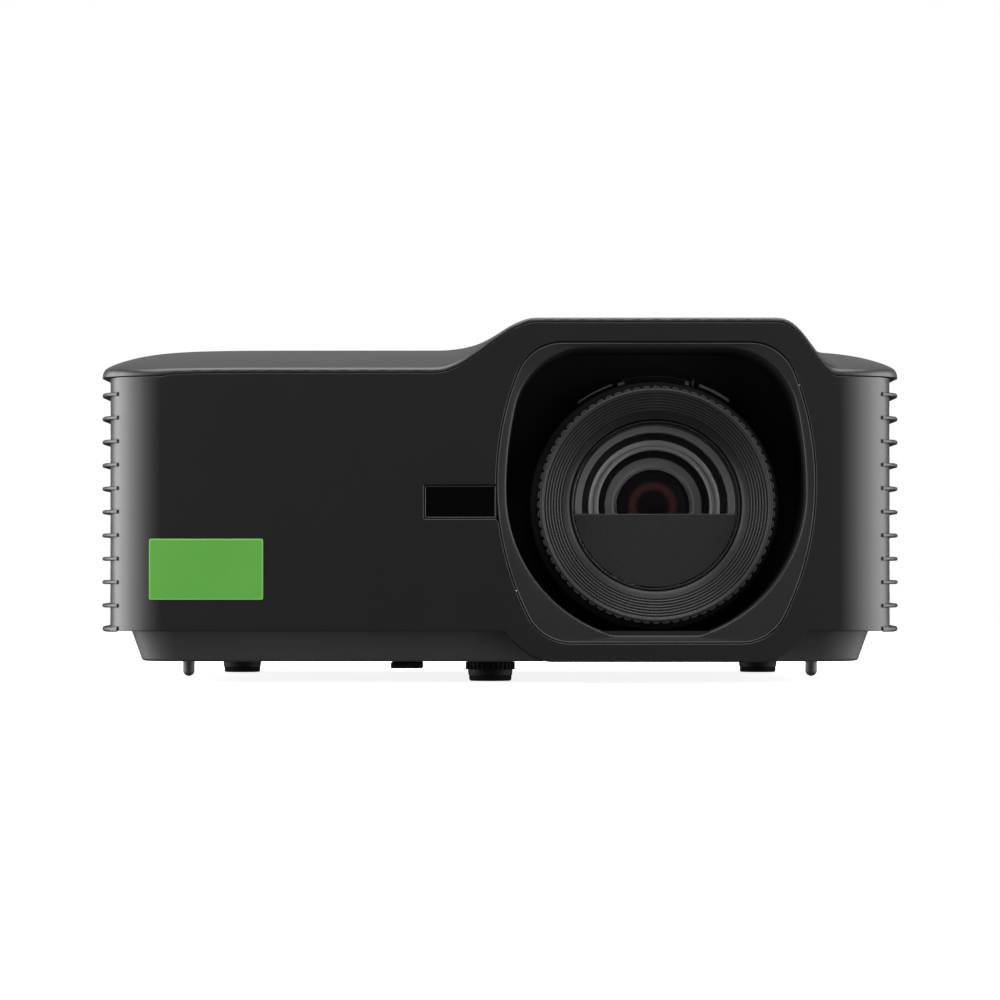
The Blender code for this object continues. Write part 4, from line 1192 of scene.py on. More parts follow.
@dataclass
class FinGrille:
    """One side of the casing: a slotted wall behind blades that stand out."""

    name: str
    side: int
    count: int = 10
    pitch: float = 0.0917 / 11
    thickness: float = 0.0014

    def blade(self, name: str, centre: float, half: float) -> bpy.types.Object:
        """Builds a blade with a round tip that grows out of the front corner and back into the rear one.

        Args:
            name: Name of the piece.
            centre: Its height.
            half: Half its thickness.

        Returns:
            The blade.
        """
        first, last = FORM.fin_start + GAP, FORM.depth - FORM.fin_start - GAP
        front, rear = FORM.front_radius, FORM.depth - FORM.rear_radius
        depths = [first + (FORM.fin_run * i / 40) for i in range(41)]
        depths += [0.05 + (last - FORM.fin_run - 0.06) * i / 12 for i in range(13)]
        depths += [last - FORM.fin_run + FORM.fin_run * i / 30 for i in range(31)]
        loops = []
        for depth in depths:
            tip = FORM.fin_half(depth)
            root = FORM.half - 0.0013
            if depth < front + GAP or depth > rear - GAP:
                root = FORM.casing_half(depth) + GAP
            radius = min(half, (tip - root) * 0.9)
            ring = [(root, -half)]
            for i in range(7):
                turn = -math.pi / 2 + math.pi * i / 6
                ring.append((tip - radius + radius * math.cos(turn), half * math.sin(turn)))
            ring.append((root, half))
            loops.append([Vector((self.side * x, FRONT + depth, centre + z)) for x, z in ring])
        return loft(name, loops, FIN_BLACK)

    def build(self) -> None:
        """Builds the blades, the bottom flange and the wall behind them."""
        start = FORM.seam + 0.0006
        blades = self.blade(f"{self.name}_blades", start + self.pitch, self.thickness / 2)
        Repeat(self.count, step=(0.0, 0.0, self.pitch)).apply(blades, FIN_BLACK)
        flange = self.blade(f"{self.name}_flange", start, 0.0010)
        wall = self.wall(start)
        node = f"{self.name}_fin_grille"
        fix(blades, "casing", FIN_BLACK, node)
        fix(flange, "casing", FIN_BLACK)
        fix(wall, "casing", FIN_BLACK)

    def wall(self, start: float) -> bpy.types.Object:
        """Builds the slotted wall from posts, with a rail behind each blade.

        Args:
            start: Height of the bottom flange.

        Returns:
            The wall.
        """
        front, rear = FORM.front_radius + GAP, FORM.depth - FORM.rear_radius - GAP
        length = (rear - front - 0.016) / 2
        outer, inner = FORM.half - 0.0003, FORM.half - WALL - GAP
        top = FORM.edge - FORM.flange - GAP

        def bar(name: str, low: Point2, high: Point2, proud: float) -> bpy.types.Object:
            """A bar between two corners, set back a little so that bars don't share faces.

            Args:
                name: Name of the bar.
                low: Its front lower corner as (depth, height).
                high: Its rear upper corner.
                proud: How far it is set back.

            Returns:
                The bar.
            """
            middle = ((low[0] + high[0]) / 2, (low[1] + high[1]) / 2)
            loop = rounded((high[0] - low[0]) / 2, (high[1] - low[1]) / 2, 0.0003, middle, 3)
            ends = sorted((self.side * (inner + proud), self.side * (outer - proud)))
            points = [(FRONT + d, z) for d, z in loop]
            return slab(name, points, ends[0], ends[1], FIN_BLACK, "X", 0.0002)

        rail = bar("rail", (front, start + self.pitch - 0.0016), (rear, start + self.pitch + 0.0016), 0.0002)
        Repeat(self.count - 1, step=(0.0, 0.0, self.pitch)).apply(rail, FIN_BLACK)
        bars = [rail, bar("low", (front, FORM.seam), (rear, start + 0.0016), 0.0002),
                bar("high", (front, start + self.count * self.pitch - 0.0016), (rear, top), 0.0002)]
        for place_in in (0.003, 0.006 + length + 0.002, rear - front - 0.003):
            bars.append(bar("post", (front + place_in - 0.003, FORM.seam + 0.0001),
                            (front + place_in + 0.003, top - 0.0001), 0.0))
        return join(f"{self.name}_grille_wall", bars)


@dataclass
class BottomCase:
    """The tray under the casing, with the feet's holes and room for the bezel's lobe."""

    def ring(self, half: float, radius: float, level: float) -> list[Vector]:
        """A loop of the tray at a height.

        Args:
            half: Half its width.
            radius: Radius of its corners.
            level: Its height.

        Returns:
            The points.
        """
        half_depth = half - FORM.half + FORM.depth / 2
        return [Vector((x, y + FRONT + FORM.depth / 2, level))
                for x, y in rounded(half, half_depth, radius, steps=12)]

    def build(self) -> None:
        """Builds the tray."""
        top, low, rim = FORM.half - 0.0072, FORM.half - 0.0105, FORM.half - WALL - GAP
        shelf, base, bend = FORM.seam + GAP, FORM.underside, 0.0015
        loops = []
        for i in range(6):
            turn = math.pi / 2 * i / 5
            loops.append(self.ring(low - bend * (1 - math.sin(turn)), 0.015,
                                   base + bend * (1 - math.cos(turn))))
        loops += [self.ring(top, 0.016, shelf), self.ring(rim, 0.0172, shelf),
                  self.ring(rim, 0.0172, shelf + 0.0015), self.ring(top - WALL, 0.014, shelf + 0.0015),
                  self.ring(low - WALL, 0.012, base + WALL)]
        case = loft("bottom_case_tray", loops, CASE_BLACK)
        lobe = FORM.lobe(-GAP)
        space = slab("lobe_space", [(lobe[0][0], 0.03)] + lobe + [(lobe[-1][0], 0.03)], FRONT - WALL,
                     FRONT + 0.030 + GAP, CASE_BLACK)
        holes = []
        for node, radius in (("front_foot", 0.0034), ("rear_foot_left", 0.0034), ("rear_foot_right", 0.0034),
                             ("case_screw_front_left", 0.0032), ("case_screw_front_right", 0.0032),
                             ("case_screw_rear_left", 0.0032), ("case_screw_rear_right", 0.0032)):
            low_corner, high_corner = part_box(node)
            middle = (low_corner + high_corner) / 2
            holes.append(slab(f"{node}_hole", circle((middle.x, middle.y), radius), base - WALL,
                              base + 2 * WALL, CASE_BLACK, "Z"))
        carve(case, space, *holes)
        fix(case, "casing", CASE_BLACK, "bottom_case")


@dataclass
class RearPanel:
    """The rear wall with its connectors' openings, the speaker's slots and the second receiver's window."""

    fillet: float = 0.0003
    columns: int = 16
    ports: tuple[str, ...] = ("power_inlet", "hdmi_port_1", "hdmi_port_2", "usb_port", "serial_port",
                              "audio_jack")

    @property
    def flat(self) -> float:
        """Half width of the flat part."""
        return FORM.half - FORM.rear_radius

    def wrap(self, u: float, z: float, inset: float) -> Vector:
        """Bends the wall round the rear corners.

        Args:
            u: Distance along the face from the middle, seen from behind.
            z: Height.
            inset: Depth below the face.

        Returns:
            The point.
        """
        radius = FORM.rear_radius
        if abs(u) <= self.flat:
            return Vector((-u, FORM.rear - inset, z))
        turn = (abs(u) - self.flat) / radius
        return Vector((-math.copysign(1.0, u) * (self.flat + (radius - inset) * math.sin(turn)),
                       FORM.rear - radius + (radius - inset) * math.cos(turn), z))

    def build(self) -> None:
        """Builds the wall."""
        reach = self.flat + FORM.rear_radius * math.pi / 2
        bend = [self.flat + (reach - self.flat) * i / self.columns for i in range(self.columns + 1)]
        edge = FORM.edge - FORM.flange - GAP
        steps = 120
        across = [self.flat - 2 * self.flat * i / steps for i in range(1, steps)]
        outer = [(-u, FORM.seam) for u in reversed(bend)] + [(u, FORM.seam) for u in bend]
        outer += [(u, edge) for u in reversed(bend)] + [(u, FORM.rim_height(-u, FORM.depth)) for u in across]
        outer += [(-u, edge) for u in bend]
        holes = []
        for node in self.ports + ("rear_ir_window",):
            low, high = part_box(node)
            holes.append(rounded((high.x - low.x) / 2 + GAP, (high.z - low.z) / 2 + GAP, 0.0008,
                                 (-(low.x + high.x) / 2, (low.z + high.z) / 2), 4))
        holes += [rounded(0.020, 0.0015, 0.0014, (0.038, 0.0595 + 0.0055 * row), 5) for row in range(6)]
        guides = [(side * (self.flat + (reach - self.flat) * (i + 0.5) / self.columns), 0.022 + 0.0085 * k)
                  for side in (-1, 1) for i in range(self.columns) for k in range(11)]
        wall = shell("rear_panel_wall", outer, holes, guides, self.wrap, self.fillet, 0.0022, SHELL_BLACK)
        fix(wall, "casing", SHELL_BLACK, "rear_panel")


# ---- Lens ----------------------------------------------------------------------------------------
AXIS = Vector((FORM.lens_x, FRONT, FORM.lens_z))
AXIS_POINT = (FORM.lens_x, FORM.lens_z)
# Rear element: a dark core with a red-brown ring at 6.8 to 8 mm, which is a painted reflection in the lens.
CORE_REFLECTION_RINGS = ((0.0, (0.002, 0.001, 0.001)), (0.0052, (0.008, 0.003, 0.003)), (0.0068, (0.340, 0.110, 0.080)),
              (0.0080, (0.300, 0.120, 0.090)), (0.0094, (0.020, 0.012, 0.010)),
              (0.0110, (0.010, 0.008, 0.008)), (0.0300, (0.002, 0.002, 0.002)))
CLEAR_RINGS = ((0.0, (0.010, 0.006, 0.010)), (0.0300, (0.012, 0.008, 0.014)))
CORE_GLASS_PAINTED_REFLECTION = RingedGlass("core_glass_painted_reflection", AXIS, CORE_REFLECTION_RINGS, 1.0, 0.25)
CLEAR_GLASS = RingedGlass("clear_glass", AXIS, CLEAR_RINGS, 0.10)


@dataclass
class LensRecess:
    """The grained trim round the lens with its tunnel and back plate."""

    depth: float = 0.046
    wall: float = 0.0020
    lip: float = 0.0030
    mount_radius: float = 0.0380

    def build(self) -> None:
        """Builds the trim and the tunnel."""
        def at(outline: Sequence[Point2], depth: float) -> list[Vector]:
            """An outline at a depth."""
            return [Vector((x, FRONT + depth, z)) for x, z in outline]

        lip = [at(FORM.recess(), WALL), at(FORM.recess(), 0.0010), at(FORM.recess(-0.0002), 0.0007),
               at(FORM.recess(-0.0005), 0.0006)]
        for i in range(5):
            turn = math.pi / 2 * i / 4
            lip.append(at(FORM.mouth(0.0008 * (1 - math.sin(turn))), 0.0010 + 0.0008 * (1 - math.cos(turn))))
        lip += [at(FORM.mouth(), self.lip), at(FORM.mouth(self.wall), self.lip),
                at(FORM.mouth(self.wall), WALL)]
        fix(loft("recess_trim_lip", lip, TRIM_BLACK, closed=True, sharp=50.0), "casing", TRIM_BLACK,
            "lens_recess_trim")
        # Thin lighter ring along the recess outline: a painted highlight of the trim's edge.
        edge = [at(FORM.recess(-inset), depth)
                for inset, depth in ((0.0001, WALL), (0.0001, 0.0006), (0.0002, 0.0004), (0.0004, 0.0004),
                                     (0.0005, 0.0006), (0.0005, WALL))]
        fix(loft("recess_trim_painted_highlight", edge, TRIM_PAINTED_HIGHLIGHT, closed=True, sharp=50.0), "casing", TRIM_PAINTED_HIGHLIGHT)
        turns = [math.atan2(z - FORM.lens_z, x - FORM.lens_x) for x, z in FORM.mouth()]
        bore = self.mount_radius + GAP
        hole = [(FORM.lens_x + bore * math.cos(t), FORM.lens_z + bore * math.sin(t)) for t in turns]
        back = self.depth + WALL
        tunnel = [at(FORM.mouth(self.wall), self.lip + 0.0001), at(FORM.mouth(self.wall - GAP), back),
                  at(hole, back), at(hole, self.depth), at(FORM.mouth(-0.0004), self.depth),
                  at(FORM.mouth(), self.lip + 0.0001)]
        fix(loft("recess_tunnel", tunnel, TUNNEL_BLACK, closed=True), "casing", TUNNEL_BLACK)


@dataclass
class LensGroup:
    """The focus ring, the zoom ring and the barrel with its half mask, retainers and glass."""

    focus_front: float = 0.006
    focus_radius: float = 0.0422
    focus_length: float = 0.020
    knurls: int = 76
    knurl_height: float = 0.0007
    grooves: int = 7
    zoom_radius: float = 0.0450

    def build(self) -> None:
        """Builds the rings and what is inside them."""
        self.build_focus_ring()
        self.build_zoom_ring()
        self.build_barrel()
        self.build_glass()

    def build_focus_ring(self) -> None:
        """Builds the focus ring: a grooved cone in front and knurls round its side."""
        body = self.focus_radius - self.knurl_height
        profile = [(body, 0.0010), (body - 0.0001, 0.0004), (body - 0.0003, 0.0001), (body - 0.0006, 0.0),
                   (body - 0.0010, 0.0)]
        start, end, fall = 0.0402, 0.0332, 0.0030
        for i in range(self.grooves):
            for share, sink in ((0.0, 0.0), (0.14, -0.00008), (0.36, -0.00008), (0.50, 0.0), (0.64, 0.00040),
                                (0.90, 0.00040)):
                where = (i + share) / self.grooves
                profile.append((start + (end - start) * where, 0.0002 + fall * where + sink))
        profile += [(end, 0.0002 + fall), (0.0325, 0.0042), (0.0317, 0.0054), (0.0310, 0.0060),
                    (0.0306, 0.0064),
                    (0.0305, 0.0070), (0.0305, self.focus_length), (body - 0.0010, self.focus_length),
                    (body, self.focus_length - 0.0010)]
        front = AXIS + Vector((0, self.focus_front, 0))
        ring = lathe("focus_ring_body", profile, front, RING_BLACK, steps=192, sharp=40.0)
        half = math.pi * body / self.knurls * 0.80
        sunk = 0.0008
        root = FORM.lens_z + body - sunk
        rib = [(FORM.lens_x - half, root), (FORM.lens_x + half, root)]
        for i in range(9):
            turn = math.pi * i / 8
            rib.append((FORM.lens_x + half * math.cos(turn),
                        FORM.lens_z + body - 0.0001 + (self.knurl_height + 0.0001) * math.sin(turn) ** 0.8))
        knurl = slab("focus_ring_knurls", rib, front.y + 0.0003, front.y + self.focus_length - 0.0008,
                     RING_BLACK, "Y", 0.0003)
        pitch = 2 * math.pi / self.knurls
        Repeat(self.knurls, turn=(0.0, pitch, 0.0), centre=tuple(AXIS)).apply(knurl, RING_BLACK)
        fix(ring, "focus_ring", RING_BLACK, "focus_ring")
        fix(knurl, "focus_ring", RING_BLACK)

    def build_zoom_ring(self) -> None:
        """Builds the zoom ring with its grip tab and the raised ribs beside it."""
        bore, length, start = 0.0380 + 2 * GAP, 0.015, 0.028
        front = AXIS + Vector((0, start, 0))
        radius = self.zoom_radius
        profile = [(bore, 0.0), (radius - 0.0012, 0.0), (radius - 0.0004, 0.0004), (radius, 0.0012),
                   (radius, length - 0.0008), (radius - 0.0008, length), (bore, length)]
        ring = lathe("zoom_ring_body", profile, front, RING_BLACK, steps=144)
        y = front.y
        # The tab takes the darker copy of the ring black, which is painted shade.
        parts = [slab("tab", turned_arc(AXIS_POINT, radius - 0.0015, radius + 0.0012, 73, 107), y + 0.0022,
                      y + length - 0.0020, SHADED_RING_BLACK, "Y", 0.0004),
                 slab("grip", turned_arc(AXIS_POINT, radius + 0.0010, radius + 0.0022, 75, 105), y + 0.0040,
                      y + length - 0.0022, MASK_BLACK, "Y", 0.0005)]
        # The stops and fences take a lighter grey that paints the highlights along their edges.
        for low, high, top in ((72.0, 73.0, 0.0024), (74.0, 76.0, 0.0014), (103.5, 106.8, 0.0010)):
            parts.append(slab("stop", turned_arc(AXIS_POINT, radius - 0.001, radius + top, low, high, 6),
                              y + 0.0014, y + length - 0.0022, EDGE_HIGHLIGHT_GREY, "Y", 0.0004))
        for low, high, thick in ((54.5, 69.5, 0.0011), (109.0, 126.5, 0.0007)):
            fence = turned_arc(AXIS_POINT, radius + 0.0006, radius + 0.0006 + thick, low, high)
            parts.append(slab("fence", fence, y - 0.0010, y + length - 0.0040, EDGE_HIGHLIGHT_GREY, "Y", 0.0003))
        fix(ring, "zoom_ring", SHADED_RING_BLACK, "zoom_ring")
        fix(join("zoom_ring_tab", parts), "zoom_ring", RING_BLACK)

    def build_barrel(self) -> None:
        """Builds the barrel, the half mask and the stepped retainers."""
        start = AXIS + Vector((0, 0.013, 0))
        step = 0.006 + self.focus_length + 0.0010 - 0.013
        tube = [(0.0295, 0.0004), (0.0297, 0.0), (0.0300, 0.0), (0.0302, 0.0004), (0.0302, step),
                (0.0376, step), (0.0380, step + 0.0004), (0.0380, 0.048), (0.0200, 0.048), (0.0200, 0.045),
                (0.0295, 0.045)]
        barrel = lathe("lens_barrel_tube", tube, start, RING_BLACK, steps=144)
        fix(barrel, "casing", RING_BLACK, "lens_barrel")
        seat, edge = 0.0295 - GAP, FORM.lens_z - 0.0030
        lean = math.asin((edge - FORM.lens_z) / seat)
        turns = [math.pi - lean + (math.pi + 2 * lean) * i / 60 for i in range(61)]
        half_disc = [(FORM.lens_x + seat * math.cos(t), FORM.lens_z + seat * math.sin(t)) for t in turns]
        mask = slab("lens_half_mask", half_disc, FRONT + 0.0145, FRONT + 0.0155, MASK_BLACK, "Y", 0.0003)
        fix(mask, "casing", MASK_BLACK, "lens_mask_plate")
        dark = [(seat, 0.0), (0.0286, 0.0), (0.0284, 0.0003), (0.0283, 0.0012)]
        front = dark + [(0.0262, 0.0014), (0.0261, 0.0016), (0.0261, 0.0020), (seat, 0.0020)]
        middle = [(seat, 0.0), (0.0238, 0.0), (0.0236, 0.0002), (0.0233, 0.0002), (0.0231, 0.0010),
                  (0.0218, 0.0012), (0.0214, 0.0003), (0.0206, 0.0001), (0.0202, 0.0006), (0.0200, 0.0012),
                  (0.0200, 0.0020), (seat, 0.0020)]
        rear = [(seat, 0.0), (0.0180, 0.0), (0.0176, 0.0008), (0.0170, 0.0004), (0.0150, 0.0001),
                (0.0146, 0.0006), (0.0142, 0.0010), (0.0138, 0.0004), (0.0134, 0.0001), (0.0132, 0.0006),
                (0.0132, 0.0020), (seat, 0.0020)]
        # The deeper retainers' pale greys are painted light: they are brighter with depth to stand in for the
        # light they reflect.
        for node, depth, profile, finish in (("front_lens_retainer", 0.0175, front, BARREL_GREY),
                                             ("middle_lens_retainer", 0.0290, middle, MIDDLE_RETAINER_PAINTED_LIGHT),
                                             ("rear_lens_retainer", 0.0400, rear, REAR_RETAINER_PAINTED_LIGHT)):
            start = AXIS + Vector((0, depth, 0))
            piece = lathe(f"{node}_ring", profile, start, finish, steps=128, sharp=25.0)
            fix(piece, "casing", finish, node)
        for name, depth, outer, inner in (("front_dark_ring", 0.0172, 0.0292, 0.0285),
                                          ("middle_dark_ring", 0.0288, 0.0260, 0.0236),
                                          ("rear_dark_ring", 0.0398, 0.0200, 0.0175)):
            baffle = lathe(name, [(inner, 0.0), (outer, 0.0), (outer, 0.0002), (inner, 0.0002)],
                           AXIS + Vector((0, depth - 0.0003, 0)), TUNNEL_BLACK, steps=128)
            fix(baffle, "casing", TUNNEL_BLACK)

    def build_glass(self) -> None:
        """Builds the three lens elements as domed discs."""
        for node, depth, radius, bulge, thick, glass in (
                ("front_lens", 0.0205, 0.0292, 0.0035, 0.0035, CLEAR_GLASS),
                ("middle_lens", 0.0320, 0.0240, 0.0030, 0.0030, CLEAR_GLASS),
                ("rear_lens", 0.0430, 0.0180, 0.0030, 0.0030, CORE_GLASS_PAINTED_REFLECTION)):
            dome = [(radius * math.sin(math.radians(a)), bulge * (1 - math.cos(math.radians(a))))
                    for a in range(0, 91, 6)]
            profile = dome + [(radius, bulge + thick), (radius * 0.5, bulge + thick * 0.75),
                              (0.0, bulge + thick * 0.6)]
            piece = lathe(f"{node}_element", profile, AXIS + Vector((0, depth, 0)), glass, steps=96)
            fix(piece, "casing", glass, node)


# ---- Underside, keypad, connectors and inside ----------------------------------------------------
@dataclass
class Feet:
    """The three adjustable feet, the two pegs, the rubber pad and the case's screws."""

    ribs: int = 30

    def build(self) -> None:
        """Builds everything under the tray."""
        for node in ("front_foot", "rear_foot_left", "rear_foot_right"):
            self.build_foot(node)
        for node in ("peg_left", "peg_right"):
            low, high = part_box(node)
            middle, radius = (low + high) / 2, (high.x - low.x) / 2
            tip = [(radius * math.sin(math.radians(a)), radius * (1 - math.cos(math.radians(a))))
                   for a in range(0, 91, 15)]
            profile = tip + [(radius, high.z - low.z), (0.0, high.z - low.z)]
            piece = lathe(f"{node}_pin", profile, Vector((middle.x, middle.y, low.z)), CASE_BLACK, "Z", 32)
            fix(piece, "casing", CASE_BLACK, node)
        low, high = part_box("underside_pad")
        middle = (low + high) / 2
        pad = slab("underside_rubber_pad", rounded((high.x - low.x) / 2, (high.y - low.y) / 2, 0.002,
                                                   (middle.x, middle.y)), low.z, high.z, RUBBER, "Z", 0.0004)
        fix(pad, "casing", RUBBER, "underside_pad")
        for node in ("case_screw_front_left", "case_screw_front_right", "case_screw_rear_left",
                     "case_screw_rear_right"):
            self.build_screw(node)

    def build_foot(self, node: str) -> None:
        """Builds a foot: a ribbed disc with a rubber sole on a threaded shank.

        Args:
            node: The frame's node, which is also the body.
        """
        low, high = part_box(node)
        middle, radius = (low + high) / 2, (high.x - low.x) / 2
        base = Vector((middle.x, middle.y, low.z))
        head = FORM.underside - GAP
        sole = [(0.0, 0.0), (radius * 0.80, 0.0), (radius * 0.84, 0.0003), (radius * 0.86, 0.0008),
                (radius * 0.86, 0.0018), (0.0, 0.0018)]
        fix(lathe(f"{node}_sole", sole, base, RUBBER, "Z", 48), node, RUBBER)
        disc = [(radius * 0.84, 0.0018), (radius * 0.88, 0.0020), (radius - 0.0005, head - 0.0004),
                (radius - 0.0009, head)]
        thread, z = [(0.0030, head)], head + 0.0010
        while z < head + 0.0185:
            thread += [(0.0026, z), (0.0030, z + 0.0004)]
            z += 0.0008
        profile = [(0.0, 0.0018)] + disc + thread + [(0.0030, head + 0.0200), (0.0, head + 0.0200)]
        body = lathe(f"{node}_disc", profile, base, FOOT_BLACK, "Z", 48)
        root, tip = base.x + radius - 0.0012, base.x + radius
        outline = [(root, base.y - 0.0005), (tip, base.y - 0.0002), (tip, base.y + 0.0002),
                   (root, base.y + 0.0005)]
        rib = slab(f"{node}_ribs", outline, base.z + head - 0.0030, base.z + head - 0.0003, FOOT_BLACK, "Z",
                   0.0001)
        Repeat(self.ribs, turn=(0.0, 0.0, 2 * math.pi / self.ribs), centre=tuple(base)).apply(rib, FOOT_BLACK)
        fix(body, node, FOOT_BLACK, node)
        fix(rib, node, FOOT_BLACK)

    def build_screw(self, node: str) -> None:
        """Builds a pan-head screw with a cross recess.

        Args:
            node: The frame's node.
        """
        low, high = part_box(node)
        middle, radius = (low + high) / 2, (high.x - low.x) / 2
        base = Vector((middle.x, middle.y, low.z))
        profile = [(0.0, 0.0), (radius * 0.6, 0.0), (radius * 0.88, 0.0002), (radius, 0.0007),
                   (radius, 0.0014), (0.0013, 0.0014), (0.0013, 0.0060), (0.0, 0.0060)]
        screw = lathe(f"{node}_head", profile, base, STEEL, "Z", 32)
        slot = rounded(radius * 0.55, 0.0003, 0.0001, (base.x, base.y), 2)
        cross = [slab("slot", slot, base.z - 0.001, base.z + 0.0008, STEEL, "Z"),
                 slab("slot", [(base.x + y - base.y, base.y - x + base.x) for x, y in slot], base.z - 0.001,
                      base.z + 0.00081, STEEL, "Z")]
        fix(carve(screw, *cross), "casing", STEEL, node)


class Mark(Enum):
    """Generic marks on the keys."""

    POWER = "power"
    ARROW = "arrow"
    DOT = "dot"
    BARS = "bars"
    BOX = "box"


@dataclass
class Keypad:
    """The glossy plate on top with its eight keys and status lamp."""

    keys: tuple[tuple[str, Mark, float], ...] = (
        ("power_button", Mark.POWER, 0.0), ("source_button", Mark.BOX, 0.0), ("menu_button", Mark.BARS, 0.0),
        ("arrow_up_button", Mark.ARROW, 90.0), ("arrow_down_button", Mark.ARROW, -90.0),
        ("arrow_left_button", Mark.ARROW, 180.0), ("arrow_right_button", Mark.ARROW, 0.0),
        ("enter_button", Mark.DOT, 0.0))

    def build(self) -> None:
        """Builds the plate, the keys and the lamp."""
        low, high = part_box("keypad_plate")
        middle, half = (low + high) / 2, (high - low) / 2
        holes = []
        for node, _, _ in self.keys:
            a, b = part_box(node)
            holes.append(circle(((a.x + b.x) / 2, (a.y + b.y) / 2), (b.x - a.x) / 2 + GAP))
        lamp_low, lamp_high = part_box("status_light")
        lamp = (lamp_low + lamp_high) / 2
        lamp_radius = (lamp_high.x - lamp_low.x) / 2
        holes.append(circle((lamp.x, lamp.y), lamp_radius + GAP, 20))
        plate = shell("keypad_gloss_plate", rounded(half.x, half.y, 0.0037, (middle.x, middle.y)), holes, [],
                      lambda x, y, inset: Vector((x, y, high.z - inset)), 0.0002, high.z - low.z, PLATE_GLOSS)
        fix(plate, "casing", PLATE_GLOSS, "keypad_plate")
        for node, mark, turn in self.keys:
            self.build_key(node, mark, turn)
        depth = lamp_high.z - lamp_low.z
        dome = [(0.0, 0.0), (lamp_radius, 0.0), (lamp_radius, depth - 0.0005),
                (lamp_radius * 0.85, depth - 0.0001), (0.0, depth)]
        piece = lathe("status_light_lens", dome, Vector((lamp.x, lamp.y, lamp_low.z)), LAMP_BLUE, "Z", 24)
        fix(piece, "casing", LAMP_BLUE, "status_light")

    def build_key(self, node: str, mark: Mark, turn: float) -> None:
        """Builds a dished key with its mark.

        Args:
            node: The frame's node, which is also the body.
            mark: Which mark it carries.
            turn: The mark's angle in degrees.
        """
        low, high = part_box(node)
        middle, radius, depth = (low + high) / 2, (high.x - low.x) / 2, high.z - low.z
        base = Vector((middle.x, middle.y, low.z))
        profile = [(0.0, 0.0), (radius, 0.0), (radius, depth - 0.0006), (radius - 0.0001, depth - 0.0003),
                   (radius - 0.0004, depth - 0.00005), (radius - 0.0008, depth),
                   (radius * 0.5, depth - 0.0002), (0.0, depth - 0.00025)]
        key = lathe(f"{node}_cap", profile, base, KEY_BLACK, "Z", 40)
        fix(key, node, KEY_BLACK, node)
        size, lift = radius * 0.42, high.z - 0.00026
        outlines = {
            Mark.ARROW: [[(-0.5, -0.8), (0.8, 0.0), (-0.5, 0.8)]],
            Mark.DOT: [circle((0.0, 0.0), 0.55, 16)],
            Mark.BARS: [rounded(0.9, 0.11, 0.05, (0.0, 0.55 * k), 2) for k in (-1, 0, 1)],
            Mark.BOX: [rounded(0.95, 0.65, 0.2, (0.0, 0.0), 3)],
            Mark.POWER: [turned_arc((0.0, 0.0), 0.72, 0.95, 125, 415),
                         rounded(0.11, 0.5, 0.05, (0.0, 0.6), 2)],
        }[mark]
        angle = math.radians(turn)
        parts = []
        for outline in outlines:
            loop = [(base.x + size * (x * math.cos(angle) - y * math.sin(angle)),
                     base.y + size * (x * math.sin(angle) + y * math.cos(angle))) for x, y in outline]
            parts.append(slab("mark", loop, lift - 0.0001, lift + 0.0001, KEY_MARK, "Z"))
        fix(join(f"{node}_mark", parts) if len(parts) > 1 else parts[0], node, KEY_MARK)
        parts[0].name = f"{node}_mark"


@dataclass
class Dressing:
    """Finishes for the frame's nodes that keep their own shape."""

    finishes: tuple[Finish | RingedGlass, ...] = (
        SHELL_BLACK, CASE_BLACK, TRIM_BLACK, WINDOW_BLACK, LABEL_GREEN, RING_BLACK, CLEAR_GLASS, RUBBER,
        STEEL, CASTING, BOARD_GREEN, LAMP_BLUE)

    def build(self) -> None:
        """Gives each node that still shows the finish of its material slot."""
        by_slot = {finish.slot: finish for finish in self.finishes}
        for entry in frame["record"]["subparts"]:
            node = frame["nodes"][entry["node"]]
            if node.hide_render:
                continue
            finish = by_slot[entry["material_slot"]]
            node.data.materials.clear()
            node.data.materials.append(finish.material())
            log.info("dressed %s as %s", entry["node"], finish.name)


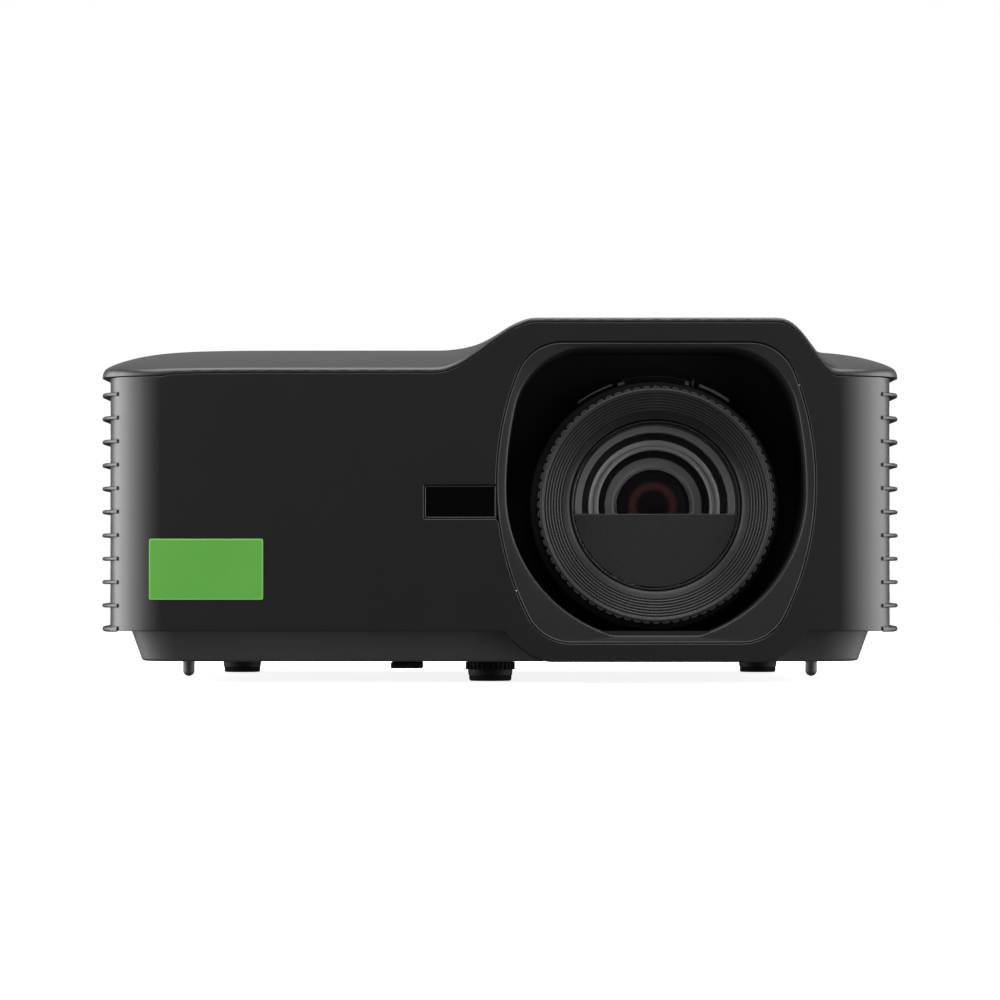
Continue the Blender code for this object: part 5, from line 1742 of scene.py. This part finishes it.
# ---- Studio --------------------------------------------------------------------------------------
@dataclass
class Studio:
    """A pale floor, soft boxes round and above, and the camera in front."""

    distance: float = 1.6
    eye: float = 0.040
    focal: float = 163.4
    tilt: float = 0.88
    room: float = 0.07
    reach: float = 1.05
    floor_half: float = 1.6

    def build(self) -> None:
        """Builds the floor, the lights and the camera."""
        scene = bpy.context.scene
        scene.view_settings.view_transform = "Standard"
        scene.view_settings.look = "None"
        camera = bpy.data.objects.new("camera", bpy.data.cameras.new("camera"))
        camera.data.lens = self.focal
        camera.data.sensor_width = 36.0
        camera.data.clip_start, camera.data.clip_end = 0.05, 50.0
        camera.location = (0.0, FRONT - self.distance, self.eye)
        camera.rotation_euler = (math.radians(90.0 + self.tilt), 0.0, 0.0)
        scene.collection.objects.link(camera)
        scene.camera = camera
        self.build_world()
        self.build_floor()
        self.add_softbox("top_box", (0.0, -0.20, 1.15), (0.0, -0.20, 0.06), (1.3, 1.5), 5.4)
        self.add_softbox("front_top_box", (0.0, -1.00, 0.98), (0.0, -0.1, 0.06), (0.7, 0.40), 1.5)
        self.add_softbox("rear_box", (0.0, 1.5, 0.75), (0.0, 0.1, 0.10), (1.8, 0.7), 0.35)
        for side, name, strengths in ((-1, "left", (6.4, 6.4, 3.6, 1.1)), (1, "right", (4.4, 5.4, 3.9, 1.4))):
            for angle, strength in zip((113.0, 89.0, 65.0, 41.0), strengths):
                turn = math.radians(angle)
                spot = (side * self.reach * math.sin(turn), FRONT - self.reach * math.cos(turn), 0.14)
                self.add_softbox(f"{name}_box_{angle:.0f}", spot, (0.0, FRONT, 0.08), (0.44, 1.0), strength)

    def build_world(self) -> None:
        """Builds a white backdrop that lights the object only dimly."""
        world = bpy.data.worlds.new("studio")
        bpy.context.scene.world = world
        world.use_nodes = True
        nodes, links = world.node_tree.nodes, world.node_tree.links
        dim, white = nodes["Background"], nodes.new("ShaderNodeBackground")
        dim.inputs["Color"].default_value = (1.0, 1.0, 1.0, 1)
        dim.inputs["Strength"].default_value = self.room
        white.inputs["Color"].default_value = (1.0, 1.0, 1.0, 1)
        mix = nodes.new("ShaderNodeMixShader")
        links.new(nodes.new("ShaderNodeLightPath").outputs["Is Camera Ray"], mix.inputs["Fac"])
        links.new(dim.outputs["Background"], mix.inputs[1])
        links.new(white.outputs["Background"], mix.inputs[2])
        links.new(mix.outputs["Shader"], nodes["World Output"].inputs["Surface"])

    def build_floor(self) -> None:
        """Builds the pale floor."""
        mesh = bpy.data.meshes.new("floor")
        size = self.floor_half
        mesh.from_pydata([(-size, -size, -0.0002), (size, -size, -0.0002), (size, size, -0.0002),
                          (-size, size, -0.0002)], [], [(0, 1, 2, 3)])
        floor = bpy.data.objects.new("floor", mesh)
        bpy.context.scene.collection.objects.link(floor)
        material = bpy.data.materials.new("floor_white")
        material.use_nodes = True
        shader = material.node_tree.nodes["Principled BSDF"]
        shader.inputs["Base Color"].default_value = (0.92, 0.92, 0.92, 1)
        shader.inputs["Roughness"].default_value = 0.9
        shader.inputs["Emission Color"].default_value = (1.0, 1.0, 1.0, 1)
        nodes, links = material.node_tree.nodes, material.node_tree.links
        distance = nodes.new("ShaderNodeVectorMath")
        distance.operation = "LENGTH"
        links.new(nodes.new("ShaderNodeTexCoord").outputs["Object"], distance.inputs[0])
        glow = nodes.new("ShaderNodeMapRange")
        for name, value in (("From Min", 0.5), ("From Max", 1.3), ("To Min", 0.85), ("To Max", 1.0)):
            glow.inputs[name].default_value = value
        links.new(distance.outputs["Value"], glow.inputs["Value"])
        links.new(glow.outputs["Result"], shader.inputs["Emission Strength"])
        mesh.materials.append(material)
        floor.visible_glossy = False
        floor.visible_diffuse = False
        floor.visible_shadow = False

    @staticmethod
    def add_softbox(name: str, spot: tuple[float, float, float], aim: tuple[float, float, float],
                    size: Point2, radiance: float) -> None:
        """Adds a rectangular softbox.

        Args:
            name: Its name.
            spot: Where it stands.
            aim: The point that it faces.
            size: Its width and height.
            radiance: Brightness of its face.
        """
        light = bpy.data.lights.new(name, "AREA")
        light.shape = "RECTANGLE"
        light.size, light.size_y = size
        light.energy = radiance * math.pi * size[0] * size[1]
        lamp = bpy.data.objects.new(name, light)
        lamp.location = spot
        lamp.rotation_euler = (Vector(aim) - Vector(spot)).to_track_quat("-Z", "Y").to_euler()
        lamp.visible_camera = False
        bpy.context.scene.collection.objects.link(lamp)


def main() -> None:
    """Builds the studio and every sub-assembly."""
    logging.basicConfig(level=logging.INFO, format="%(message)s")
    assemblies = (Studio(), FrontBezel(), TopCover(), FinGrille("left", -1), FinGrille("right", 1),
                  BottomCase(), RearPanel(), LensRecess(), LensGroup(), Feet(), Keypad(), Dressing())
    for assembly in assemblies:
        assembly.build()
        log.info("built %s", type(assembly).__name__)


if __name__ == "__main__":
    main()
